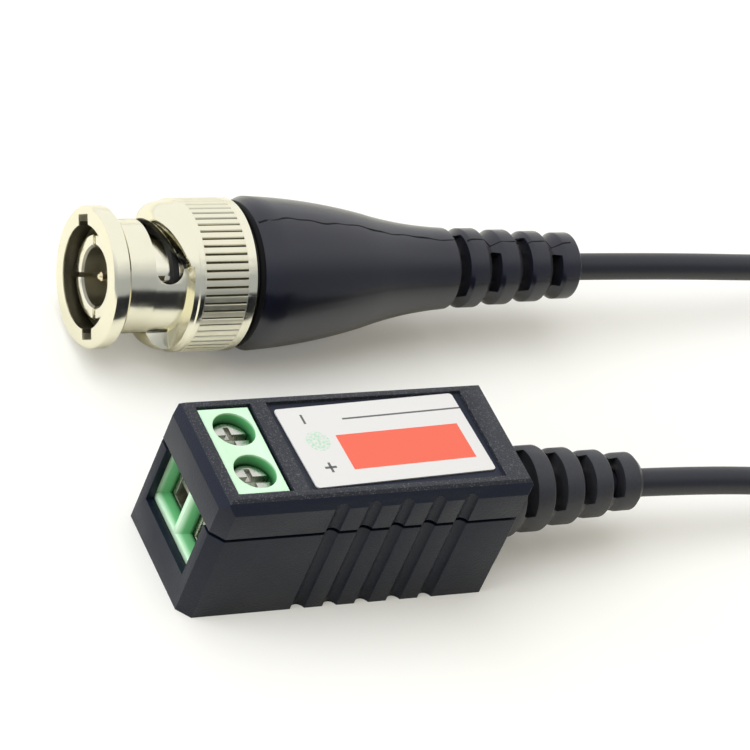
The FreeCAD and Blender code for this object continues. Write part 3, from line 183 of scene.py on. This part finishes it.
# %% [markdown]
# A finish is a small tree of nodes. `Finish` starts one and gives short names to the steps that
# come back in every piece: object coordinates, noise of a size in millimetres, a clipped range,
# a mixture of two colours, a bump and the surface. Object coordinates stay with a piece when it
# moves, so the grain never slides over a turning nut.

# %% Finish
class Finish:
    """A material, or a world, and its node tree."""

    def __init__(self, name, world=None):
        self.material = world or bpy.data.materials.new(name)
        self.material.use_nodes = True
        self.tree = self.material.node_tree
        self.tree.nodes.clear()

    def node(self, kind, settings=None, inputs=None, output=0):
        """Add a node: its settings first, then values or links for its sockets."""
        made = self.tree.nodes.new("ShaderNode" + kind)
        for name, value in (settings or {}).items():
            setattr(made, name, value)
        for name, value in (inputs or {}).items():
            if isinstance(value, Socket):
                self.tree.links.new(value.plug, made.inputs[name])
            else:
                made.inputs[name].default_value = value
        return Socket(self, made.outputs[output]) if made.outputs else None

    def place(self, offset=(0, 0, 0), turn=0.0):
        """Object coordinates, centred on a place and turned about the vertical by some degrees."""
        coordinates = self.node("TexCoord", output="Object")
        return self.node("Mapping", {"vector_type": "TEXTURE"},
                         {"Vector": coordinates, "Location": offset,
                          "Rotation": (0, 0, math.radians(turn))})

    def axes(self, place):
        """X, Y and Z of a place, each as a socket of its own."""
        return [self.node("SeparateXYZ", inputs={"Vector": place}, output=axis) for axis in "XYZ"]

    def noise(self, place, size_mm, detail=3, roughness=0.5):
        """Soft random blobs of about this size, from 0 to 1."""
        scale = 1 / (size_mm * MM)
        return self.node("TexNoise", inputs={"Vector": place, "Scale": scale, "Detail": detail,
                                             "Roughness": roughness})

    def stretch(self, value, low, high, to_low=0.0, to_high=1.0):
        """Carry the range low..high onto to_low..to_high, and cut off what is outside it."""
        return self.node("MapRange", inputs={"Value": value, "From Min": low, "From Max": high,
                                             "To Min": to_low, "To Max": to_high})

    def mix(self, share, first, second):
        """A colour between two colours."""
        return self.node("Mix", {"data_type": "RGBA"}, {0: share, 6: first, 7: second}, output=2)

    def bump(self, height, depth_mm):
        """A normal tilted by a height map whose full range is this deep."""
        return self.node("Bump", inputs={"Height": height, "Distance": depth_mm * MM,
                                         "Strength": 1.0})

    def surface(self, **sockets):
        """The Principled shader and the output. Names use _ for the spaces in socket names."""
        inputs = {name.replace("_", " "): value for name, value in sockets.items()}
        shader = self.node("BsdfPrincipled", inputs=inputs)
        self.node("OutputMaterial", inputs={"Surface": shader})
        return self.material


# %% [markdown]
# A paint swatch counts its colours from 0 to 255 in steps that look even to the eye. A shader
# adds up light, so it needs the linear value, which the standard sRGB curve gives.

# %% Paint colours
def tint(red, green_with_shade, blue):
    """A swatch's colour, 0 to 255 each, as the linear values that shaders use."""
    def linear(value):
        share = value / 255
        return share / 12.92 if share <= 0.04045 else ((share + 0.055) / 1.055) ** 2.4
    return (linear(red), linear(green_with_shade), linear(blue), 1)


print(f"mid grey 128 is {tint(128, 128, 128)[0]:.3f} in linear light")


# %% [markdown]
# ## The table and the light
# The object lies on a white sheet under a wide soft lamp. The sheet takes the shadow, and a
# little glow that only the camera sees carries its white up to the paper white of the backdrop,
# so the lamps stay at a level where colours look as they were written.

# %% The white sheet
SHEET_SIZE, SHEET_MIDDLE, SHEET_WHITE = 4, mm(9.9, 13.7, 0), tint(244, 243, 241)
GLOW_STRENGTH = 1.3
GLOW_NEAR, GLOW_FAR = 15 * MM, 75 * MM
GLOW_LEAST, GLOW_MOST = 0.12, 0.5

bpy.ops.object.select_all(action="DESELECT")
bpy.ops.mesh.primitive_plane_add(size=SHEET_SIZE, location=(0, 0, 0))
sheet = bpy.context.object
sheet.name = "table_sheet"

paper = Finish("white_sheet")
seen = paper.node("LightPath", output="Is Camera Ray")
away = paper.node("VectorMath", {"operation": "LENGTH"}, {0: paper.place(offset=SHEET_MIDDLE)},
                  "Value")
matt_paper = paper.node("BsdfDiffuse", inputs={"Color": SHEET_WHITE})
glow = paper.node("Emission", inputs={"Color": (1, 1, 1, 1), "Strength": GLOW_STRENGTH})
share = seen * paper.stretch(away, GLOW_NEAR, GLOW_FAR, GLOW_LEAST, GLOW_MOST)
lit_sheet = paper.node("MixShader", inputs={0: share, 1: matt_paper, 2: glow})
paper.node("OutputMaterial", inputs={"Surface": lit_sheet})
sheet.data.materials.append(paper.material)
print("sheet:", SHEET_SIZE, "m wide")


# %% [markdown]
# The room round the table is a world with three answers. Beyond the sheet the camera sees plain
# pale grey. Matt surfaces get a weak warm fill, as from a cream wall. Mirrors and gloss see
# darker walls and a bright ceiling with a soft border, which draws the bands on the nickel.

# %% The room
WORLD_FILL, WORLD_WALLS, WORLD_CEILING = 0.4, 0.5, 1.08
CEILING_LEAN, CEILING_FROM, CEILING_TO = 0.8, 0.0, 0.6
PALE_GREY = (0.8, 0.8, 0.8, 1)

world = bpy.data.worlds.new("studio")
bpy.context.scene.world = world
studio = Finish("studio", world)


def wall_light(strength, colour):
    """Even light from everywhere."""
    return studio.node("Background", inputs={"Color": colour, "Strength": strength})


def choose(share, first, second):
    """A world between two worlds."""
    return studio.node("MixShader", inputs={0: share, 1: first, 2: second})


_, back, height = studio.axes(studio.node("TexCoord", output="Generated"))
overhead = studio.stretch(height + back * CEILING_LEAN, CEILING_FROM, CEILING_TO)
mirrored = choose(overhead, wall_light(WORLD_WALLS, tint(238, 243, 255)),
                  wall_light(WORLD_CEILING, tint(250, 251, 253)))
room = choose(studio.node("LightPath", output="Is Glossy Ray"),
              wall_light(WORLD_FILL, tint(255, 244, 200)), mirrored)
room = choose(studio.node("LightPath", output="Is Camera Ray"), room,
              wall_light(1.0, PALE_GREY))
studio.node("OutputWorld", inputs={"Surface": room})
print("room:", len(studio.tree.nodes), "nodes")


# %% [markdown]
# The lamps are wide and far off, like the soft boxes over a product table. A wide lamp gives the
# blurred shadow on the right of the case, and a weaker one on the left lifts the terminal end.
# Metal shows the room and not the lamps, so the bands on the nut come from walls and ceiling.

# %% Lamps
LAMP_COLOUR = (0.9, 0.94, 1.0)


def add_lamp(name, place, width, watts):
    """A square soft lamp that looks at the object."""
    lamp = bpy.data.objects.new(name, bpy.data.lights.new(name, "AREA"))
    bpy.context.scene.collection.objects.link(lamp)
    lamp.data.shape = "SQUARE"
    lamp.data.size = width
    lamp.data.energy = watts
    lamp.data.color = LAMP_COLOUR
    lamp.location = place
    lamp.visible_glossy = False
    lamp.rotation_mode = "QUATERNION"
    lamp.rotation_quaternion = (AIM - place).to_track_quat("-Z", "Y")


add_lamp("overhead_box", Vector((-0.1, 0.16, 0.62)), width=0.75, watts=4.05)
add_lamp("left_box", Vector((-0.5, 0.05, 0.3)), width=0.45, watts=1.7)


# %% [markdown]
# ## Moulded and machined edges
# No real edge is perfectly sharp: a mould or a cutter leaves a tiny round that catches the
# light. The CAD solids are left as they are, so each is copied, its triangles are merged back
# into whole faces, and a narrow bevel is put on every edge that turns by more than a set angle.

# %% Whole faces
CORNER_MERGE = 0.002 * MM
FLAT_TURN = math.radians(0.3)


def only(piece):
    """Make this the one selected and active object."""
    bpy.ops.object.select_all(action="DESELECT")
    piece.select_set(True)
    bpy.context.view_layer.objects.active = piece


def whole_faces(piece):
    """Merge doubled corners and dissolve the flat triangles into whole faces."""
    only(piece)
    bpy.ops.mesh.customdata_custom_splitnormals_clear()
    bpy.ops.object.mode_set(mode="EDIT")
    bpy.ops.mesh.select_all(action="SELECT")
    bpy.ops.mesh.remove_doubles(threshold=CORNER_MERGE)
    bpy.ops.mesh.dissolve_limited(angle_limit=FLAT_TURN)
    bpy.ops.object.mode_set(mode="OBJECT")


# %% Dressed copies
SHARP_TURN = math.radians(32)


def finished(piece, material, body, slot, *nodes):
    """Give a piece its finish, put it on its body and hide the CAD nodes that it stands in for."""
    piece.data.materials.clear()
    piece.data.materials.append(material)
    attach(piece, body)
    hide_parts(*nodes)
    return piece


def dressed(node, name, material, slot, edge_mm, segments=2):
    """A copy of a CAD node with soft edges."""
    source = frame["nodes"][node]
    piece = bpy.data.objects.new(name, source.data.copy())
    bpy.context.scene.collection.objects.link(piece)
    whole_faces(piece)
    bevel = piece.modifiers.new("edge", "BEVEL")
    bevel.limit_method = "ANGLE"
    bevel.angle_limit = SHARP_TURN
    bevel.width = edge_mm * MM
    bevel.segments = segments
    bevel.use_clamp_overlap = True
    bpy.ops.object.modifier_apply(modifier=bevel.name)
    bpy.ops.object.shade_smooth_by_angle(angle=SHARP_TURN)
    finished(piece, material, source["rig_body"], slot, node)
    print(f"{name}: {len(piece.data.polygons)} faces")
    return piece


def painted(node, material):
    """A CAD node whose shape is right keeps it, and takes a finish."""
    source = frame["nodes"][node]
    source.data.materials.clear()
    source.data.materials.append(material)


# %% [markdown]
# ## The case
# Both shells are moulded in black plastic from a spark-eroded mould, which leaves a fine even
# grain. The grain is too small to model, so it is a bump from fine noise, with a faint cloudy
# change of roughness where fingers have polished it. The flat top has painted light: a lighter
# grey and small bright painted glints.

# %% Grained plastic
CLOUD_MM, GLINT_MM = 6, 0.14
SPECK_LIGHTER = 1.9
LIT_TOP_GREY, GLINT_GREY = tint(50, 51, 55), tint(178, 180, 184)


def grained_plastic(name, colour, grain_mm, depth_mm, rough, speckle=0.5, specular=0.5, sheen=0.0,
                    cloudy=0.05, painted_light_above=None):
    """Plastic with an even grain, and painted light (a lighter grey and glints) on a face above a
    height in mm.
    """
    finish = Finish(name)
    place = finish.place()
    grain = finish.noise(place, grain_mm, detail=2, roughness=0.6)
    polish = rough
    if cloudy:
        cloud = finish.noise(place, CLOUD_MM, detail=2)
        polish = finish.stretch(cloud, 0.3, 0.7, rough - cloudy, rough + cloudy)
    speck = finish.stretch(grain, 0.3, 0.75)
    lighter = tuple(SPECK_LIGHTER * part for part in colour[:3]) + (1,)
    skin = finish.mix(speck * speckle, colour, lighter)
    # Painted light on the top face: a lighter grey and small bright painted glints.
    if painted_light_above is not None:
        glint = finish.stretch(finish.noise(place, GLINT_MM, detail=1), 0.58, 0.7)
        lit_top = finish.axes(place)[2] > painted_light_above * MM
        skin = finish.mix(lit_top * 0.5, skin, LIT_TOP_GREY)
        skin = finish.mix(glint * lit_top * 0.15, skin, GLINT_GREY)
    return finish.surface(Base_Color=skin, Roughness=polish, Specular_IOR_Level=specular,
                          Sheen_Weight=sheen, Normal=finish.bump(grain, depth_mm))


# %% Case
case_plastic = grained_plastic("case_plastic", tint(11, 17, 32), 0.16, 0.035, 0.4, speckle=0.6,
                               specular=0.32, painted_light_above=13.9)
dressed("lower_shell", "case_base", case_plastic, "shell", 0.12)
dressed("upper_shell", "case_cover", case_plastic, "shell", 0.12)


# %% [markdown]
# ## The screw terminals
# The terminal block is one shot of green nylon with a tunnel and a screw well for each wire. Its
# open faces are pale and glossy, and the shade in the tunnels and wells is painted: they are
# coloured a darker and then a deep green the farther in they lie. That depth is worked out from
# the mesh: how far a point lies under the top and behind the front face. One mix then gives the
# pale rim, the painted shade of the wall and the painted deep shade at the end.

# %% Green nylon
RIM_GREEN, SHADED_WALL_GREEN, SHADED_DEEP_GREEN = tint(206, 242, 214), tint(100, 190, 122), tint(8, 70, 28)
FACE_SHARE = 0.6

housing_corners = [corner.co for corner in frame["nodes"]["terminal_block"].data.vertices]
housing_top = max(corner.z for corner in housing_corners)
housing_face = min(corner.x for corner in housing_corners)
green_nylon = Finish("green_nylon")
here = green_nylon.place()
along_case, _, up_case = green_nylon.axes(here)
sunk = (housing_top - up_case).least((along_case - housing_face) * FACE_SHARE)
into_shade = green_nylon.stretch(sunk, 0.05 * MM, 0.3 * MM)
# Painted shade: tunnel and well walls take a darker green, and their far ends a deep green.
into_deep_shade = green_nylon.stretch(sunk, 0.1 * MM, 1.3 * MM)
green_with_shade = green_nylon.mix(into_shade, RIM_GREEN, SHADED_WALL_GREEN)
green_material = green_nylon.surface(
    Base_Color=green_nylon.mix(into_deep_shade, green_with_shade, SHADED_DEEP_GREEN), Roughness=0.3,
    Normal=green_nylon.bump(green_nylon.noise(here, 0.4), 0.004))
dressed("terminal_block", "terminal_housing", green_material, "terminal", 0.1)


# %% [markdown]
# The screws are turned steel and the cages are folded from strip; both are zinc or nickel plated.
# Plating follows the blank under it, so it shows tiny waves and a cloudy gloss. One function
# makes every metal of the object. It can also take a `recess`: a rule that says where shade is
# painted into the plating as a darker colour or as black, and where the plating is rougher.

# %% Plated metal
SHADED_PLATING, SHADE_BLACK = tint(62, 56, 42), tint(20, 18, 15)
SHADE_SHARE, MATT_ROUGHER = 0.85, 0.22


def plated_metal(name, colour, rough, grain_mm, depth_mm, recess=None):
    """Plating over a part-polished blank: tiny waves, a cloudy gloss and painted shade in
    recesses.
    """
    finish = Finish(name)
    place = finish.place()
    wave = finish.noise(place, grain_mm, detail=3)
    polish = finish.stretch(wave, 0.3, 0.7, rough * 0.75, rough * 1.3)
    if recess:
        # Painted shade: recesses take a darker plating colour, and walls that only see one another
        # go black.
        painted_shade, painted_black_shade, matt = recess(finish)
        colour = finish.mix(painted_shade * SHADE_SHARE, colour, SHADED_PLATING)
        colour = finish.mix(painted_black_shade, colour, SHADE_BLACK)
        polish = polish + matt * MATT_ROUGHER
    return finish.surface(Base_Color=colour, Metallic=1.0, Roughness=polish,
                          Normal=finish.bump(wave, depth_mm))


# %% Clamps and screws
screw_metal = plated_metal("screw_metal", tint(214, 212, 205), 0.3, 0.35, 0.02)
clamp_metal = plated_metal("clamp_metal", tint(205, 203, 192), 0.34, 0.5, 0.015)
for number in (1, 2):
    dressed(f"terminal_screw_{number}", f"clamp_screw_{number}", screw_metal, "screw", 0.08)
    dressed(f"clamp_cage_{number}", f"wire_clamp_{number}", clamp_metal, "cage", 0.06)
    painted(f"contact_bar_{number}", clamp_metal)


# %% [markdown]
# ## The label
# A printed film is stuck in the shallow field of the cover. On the real piece the print carries
# words; here it keeps its plain shapes only: a red block, a ruled line in the place of the line
# of text, the + and - marks and a faint green spot. Each shape is arithmetic on the distance from
# the label's middle, so its edges stay sharp at any size.

# %% Shapes on the label
LABEL_MIDDLE, LABEL_TURN = mm(2.75, 0.12, 0), 2.2
label_film = Finish("label_film")
label_place = label_film.place(offset=LABEL_MIDDLE, turn=LABEL_TURN)
across, up, _ = label_film.axes(label_place)


def between(value, low_mm, high_mm):
    """1 where a value lies between two limits."""
    return (value > low_mm * MM) * (value < high_mm * MM)


def field(left, right, low, high):
    """1 inside a rectangle on the label, in millimetres from its middle."""
    return between(across, left, right) * between(up, low, high)


def spot(x, y, radius):
    """1 inside a round spot."""
    off_x, off_y = across - x * MM, up - y * MM
    return (off_x * off_x + off_y * off_y) < (radius * MM) ** 2


# %% Label
FILM_WHITE, RED, PALE_GREEN, BLACK = (
    tint(220, 219, 222), tint(231, 92, 66), tint(168, 212, 184), tint(48, 46, 46))
red_block = field(-4.7, 8.1, -3.12, 1.1)
minus = field(-7.12, -6.88, 2.75, 3.9)
plus = field(-7.5, -6.3, -2.72, -2.46) + field(-7.03, -6.77, -3.2, -2.0)
ruled_line = field(-3.1, 9.6, 2.85, 3.05)
green_spot = spot(-6.7, 0.6, 1.17)
mottle = label_film.noise(label_place, 0.25, detail=2)
film = label_film.mix(red_block * 0.97, FILM_WHITE, RED)
film = label_film.mix(green_spot * label_film.stretch(mottle, 0.4, 0.66), film, PALE_GREEN)
film = label_film.mix((minus + plus + ruled_line) * 0.9, film, BLACK)
label_material = label_film.surface(
    Base_Color=film, Roughness=label_film.stretch(mottle, 0.3, 0.7, 0.36, 0.46), Coat_Weight=0.25)
painted("label_sticker", label_material)
print("label:", len(label_film.tree.nodes), "nodes")


# %% [markdown]
# ## Sleeve, boot and jacket
# The sleeve, the boot and the cable's jacket are soft black vinyl, cast in polished moulds. They
# share one recipe with the case and differ in numbers: the boot is the smoothest and takes a
# broad grey sheen on top, the sleeve is a little rough, and the jacket lies between them. A round
# of a fifth of a millimetre on the ring edges is what a soft plastic keeps from its mould.

# %% Soft black plastics
sleeve_plastic = grained_plastic("sleeve_plastic", tint(42, 43, 49), 0.3, 0.012, 0.4, speckle=0.3,
                                 specular=0.45, sheen=0.03, cloudy=0)
boot_plastic = grained_plastic("boot_plastic", tint(10, 12, 28), 0.6, 0.005, 0.24, speckle=0.2,
                               specular=0.62, sheen=0.07, cloudy=0)
jacket_plastic = grained_plastic("jacket_plastic", tint(28, 29, 38), 0.6, 0.008, 0.34, speckle=0.2,
                                 specular=0.45, cloudy=0)
dressed("case_strain_relief", "case_sleeve", sleeve_plastic, "sleeve", 0.2, segments=3)
boot = dressed("plug_boot", "boot", boot_plastic, "sleeve", 0.25, segments=3)
cable.data.materials.append(jacket_plastic)


# %% [markdown]
# ## The seam of the boot, and a painted shade ring
# The boot is cast round the plug in a mould of two halves, and a thin ragged skin of vinyl, the
# flash, is left where they meet. It is thinner than the CAD model needs, so it is made here: a
# ray is shot at the boot from outside at many places along it, and a fine line runs through the
# points where the rays land. Where a ray falls into a gap between two rings the line stops, as
# the real seam does.

# %% Points on the skin of the boot
PLUG_MOUTH, PLUG_TURN = mm(-14.05, 28.9, 7.3), -1.25
plug_way = Vector((math.cos(math.radians(PLUG_TURN)), math.sin(math.radians(PLUG_TURN)), 0))
plug_side = Vector((-plug_way.y, plug_way.x, 0))
RAY_START, RAY_REACH = 12 * MM, 9.5 * MM


def boot_skin(along, degrees):
    """The boot's skin this far along the plug and at this angle, or None over a hole."""
    angle = math.radians(degrees)
    outward = plug_side * math.cos(angle) + Vector((0, 0, math.sin(angle)))
    start = PLUG_MOUTH + plug_way * along * MM + outward * RAY_START
    hit, place, _, _ = boot.ray_cast(start, -outward, distance=RAY_REACH)
    return place if hit else None


# %% Follow the seam
FLASH_FROM, FLASH_TO, FLASH_STEP = 15.6, 51.4, 0.15
SEAM_ANGLE, FLASH_THICK, FRONT_THICKER = 92, 0.07, 0.05
FRONT_END = 21
BOOT_TOP = mm(0, 0, 14.6).z

runs = [[]]
for number in range(round((FLASH_TO - FLASH_FROM) / FLASH_STEP)):
    along = FLASH_FROM + FLASH_STEP * number
    wander = 1.2 * math.sin(along * 0.9) + 0.6 * math.sin(along * 2.3)
    thick = (FLASH_THICK + 0.035 * math.sin(along * 1.7) * math.sin(along * 0.6)) * MM
    thick += max(0, FRONT_END - along) / (FRONT_END - FLASH_FROM) * FRONT_THICKER * MM
    skin = boot_skin(along, SEAM_ANGLE + wander)
    if skin:
        skin.z = min(skin.z, BOOT_TOP - thick)
        runs[-1].append((skin, thick))
    elif runs[-1]:
        runs.append([])
print("seam:", len(runs), "runs")

# %% Flash
bpy.ops.curve.primitive_nurbs_path_add()
flash = bpy.context.object
flash.name = flash.data.name = "boot_flash"
flash.location = (0, 0, 0)
flash.data.splines.clear()
for run in runs:
    if len(run) < 2:
        continue
    ridge = flash.data.splines.new("POLY")
    ridge.points.add(len(run) - 1)
    for point, (skin, thick) in zip(ridge.points, run):
        point.co = (*skin, 1)
        point.radius = thick
flash.data.dimensions = "3D"
flash.data.bevel_depth = 1
flash.data.bevel_resolution = 2
only(flash)
bpy.ops.object.convert(target="MESH")
# The flash is real geometry; its near-black colour, darker than the boot, is painted shade of the
# seam's step.
flash.data.materials.append(grained_plastic("flash_with_painted_shade", tint(6, 6, 8), 0.4, 0.02, 0.34,
                                            speckle=0.2, specular=0.4))
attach(flash, "case")
print("flash:", len(flash.data.polygons), "faces")


# %% [markdown]
# Behind the nut the boot meets the metal in a black line of shade. That shade is painted: a thin
# torus of near-black matt plastic stands there, where a rolled lip would be. A torus is the plain
# way to model a rolled edge: one large radius for the boot and one small radius for the roll.

# %% Painted shade ring behind the nut
SHADE_RING_ALONG, SHADE_RING_RADIUS, SHADE_RING_ROLL = 15.1, 6.62 * MM, 0.33 * MM
bpy.ops.object.select_all(action="DESELECT")
bpy.ops.mesh.primitive_torus_add(
    location=PLUG_MOUTH + plug_way * SHADE_RING_ALONG * MM,
    rotation=(0, math.radians(90), math.radians(PLUG_TURN)),
    major_radius=SHADE_RING_RADIUS, minor_radius=SHADE_RING_ROLL, major_segments=96, minor_segments=16)
shade_ring = bpy.context.object
shade_ring.name = shade_ring.data.name = "boot_shade_ring"
bpy.ops.object.transform_apply(location=True, rotation=True, scale=True)
bpy.ops.object.shade_smooth()
# Painted shade: the ring is near-black matt plastic standing for the shade behind the nut.
shade_ring.data.materials.append(grained_plastic("shade_ring_black", tint(5, 5, 7), 0.4, 0.01, 0.6,
                                          speckle=0.1, specular=0.2))
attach(shade_ring, "case")
print("lip:", len(shade_ring.data.polygons), "faces")


# %% [markdown]
# ## The bayonet plug
# The nut and the body are turned from brass and nickel plated. The plating is bright and a little
# yellow outside. Inside the bore, in the entry notches and between the ridges of the knurl the
# plating is painted darker as shade, and the walls of the helical slots are painted black as
# shade, because they only see one another. These places are told apart by the distance along the
# plug and the distance from its axis.

# %% Places on the plug
def plug_axes(finish):
    """The distance along the plug, and how far sideways and up a point lies from its axis."""
    return finish.axes(finish.place(offset=PLUG_MOUTH, turn=PLUG_TURN))


def nearer(apart, radius_mm):
    """1 where a point lies nearer to the axis than this. Apart is the square of its distance."""
    return apart < (radius_mm * MM) ** 2


def farther(apart, radius_mm):
    """1 where a point lies farther from the axis than this."""
    return apart > (radius_mm * MM) ** 2


# %% Where the nut gets painted shade
FRONT_SKIN = 0.12
BORE_SKIN, NOTCH_SKIN, NOTCH_END = 5.27, 5.83, 1.7
SLOT_FRONT, SLOT_BACK = 4, 7.5
SLEEVE_INSIDE, SLEEVE_OUTSIDE = 5.36, 5.46
SHOULDER_START, SHOULDER_FOOT, SHOULDER_TOP = 5.7, 5.34, 6.86
SLOT_MIDDLE, SLOT_WIDE = math.radians(94.5), 0.354
KNURL_START, KNURL_END, KNURL_FLOOR = 8.9, 13.4, 7.08


def nut_recess(finish):
    """Painted shade: bore, notches and knurl floors. Painted black shade: the slots' walls. Matt:
    the knurl too.
    """
    along, side, up = plug_axes(finish)
    apart = side * side + up * up
    behind_face = along > FRONT_SKIN * MM
    bore = behind_face * nearer(apart, BORE_SKIN)
    notch = behind_face * (along < NOTCH_END * MM) * nearer(apart, NOTCH_SKIN)
    skin = finish.stretch(along, SHOULDER_START * MM, SLOT_BACK * MM,
                          SHOULDER_FOOT * MM, SHOULDER_TOP * MM)
    through = side * math.cos(SLOT_MIDDLE) + up * math.sin(SLOT_MIDDLE)
    beside_slot = through * through > apart * SLOT_WIDE
    in_shoulder = farther(apart, SLEEVE_OUTSIDE) * (apart < skin * skin) * beside_slot
    in_sleeve = nearer(apart, SLEEVE_INSIDE)
    slot_walls = between(along, SLOT_FRONT, SLOT_BACK) * (in_sleeve + in_shoulder)
    knurl = between(along, KNURL_START, KNURL_END)
    floors = knurl * nearer(apart, KNURL_FLOOR)
    # Painted shade in the bore, notches and knurl floors; black painted shade on the slot walls.
    painted_shade = (bore + notch) * 0.55 + floors * 0.9
    return painted_shade, slot_walls * 0.9, (bore + notch + knurl).least(1)


# %% Where the contact gets painted shade
CONTACT_FRONT, CONTACT_INSIDE = 1.0, 2.95


def contact_recess(finish):
    """Painted shade and a matt finish inside the slotted contact."""
    along, side, up = plug_axes(finish)
    apart = side * side + up * up
    inside = (along > CONTACT_FRONT * MM) * nearer(apart, CONTACT_INSIDE)
    return inside * 0.75, 0.0, inside


# %% Bayonet plug
nut_nickel = plated_metal("nut_nickel", tint(242, 238, 214), 0.18, 1.2, 0.01, nut_recess)
nickel = plated_metal("nickel", tint(242, 238, 218), 0.16, 1.2, 0.01, contact_recess)
dressed("coupling_nut", "bayonet_nut", nut_nickel, "nickel", 0.08)
dressed("plug_body", "plug_shell", nickel, "nickel", 0.08)

# %% Pin, insulator and gasket
white_nylon = grained_plastic("white_nylon", tint(206, 200, 186), 0.5, 0.004, 0.35, speckle=0.03)
pin_metal = plated_metal("pin_metal", tint(236, 222, 188), 0.18, 0.8, 0.01)
black_rubber = grained_plastic("black_rubber", tint(30, 30, 31), 0.3, 0.01, 0.6)
painted("front_insulator", white_nylon)
painted("centre_pin", pin_metal)
painted("mating_gasket", black_rubber)
print("painted: front_insulator, centre_pin, mating_gasket")


# %% [markdown]
# ## Pieces that a closed balun hides
# The photograph shows none of these. They get the finishes such parts usually have, so that the
# model can be opened or cut: a green solder mask on the board, grey ferrite, enamelled copper,
# black epoxy, a tan ceramic capacitor, the clear core of the cable and spring steel washers.

# %% Pieces inside the case and the plug
steel = plated_metal("spring_steel", tint(196, 196, 194), 0.25, 0.8, 0.01)
board_mask = grained_plastic("board_mask", tint(40, 110, 66), 0.8, 0.01, 0.32, speckle=0.1)
ferrite = grained_plastic("ferrite", tint(60, 60, 62), 0.25, 0.03, 0.6)
copper = plated_metal("enamelled_copper", tint(196, 110, 62), 0.22, 0.6, 0.01)
moulded_epoxy = grained_plastic("moulded_epoxy", tint(38, 38, 40), 0.2, 0.015, 0.5)
ceramic = grained_plastic("ceramic", tint(190, 160, 118), 0.3, 0.01, 0.45, speckle=0.1)
clear_core = grained_plastic("clear_core", tint(226, 226, 222), 0.6, 0.005, 0.3, speckle=0.02)
for node, material in {
        "circuit_board": board_mask, "balun_core": ferrite, "balun_winding": copper,
        "surge_suppressor": moulded_epoxy, "coupling_capacitor": ceramic,
        "coax_core_lead": copper, "coax_shield_lead": copper, "coax_core": clear_core,
        "thrust_washer": steel, "retaining_ring": steel, "crimp_ferrule": nickel}.items():
    painted(node, material)
print("materials:", len(bpy.data.materials))


# %% [markdown]
# The wave washer is a spring. It lies between the body's flange and the nut, and it is pressed
# flat when the nut is pulled forward to be locked. A rigid ring would cut into the nut there.
# Here it is dressed like the other pieces and takes a mesh of its own.

# %% Wave washer
spring = dressed("wave_washer", "wave_spring", steel, "spring", 0.03)
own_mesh(spring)
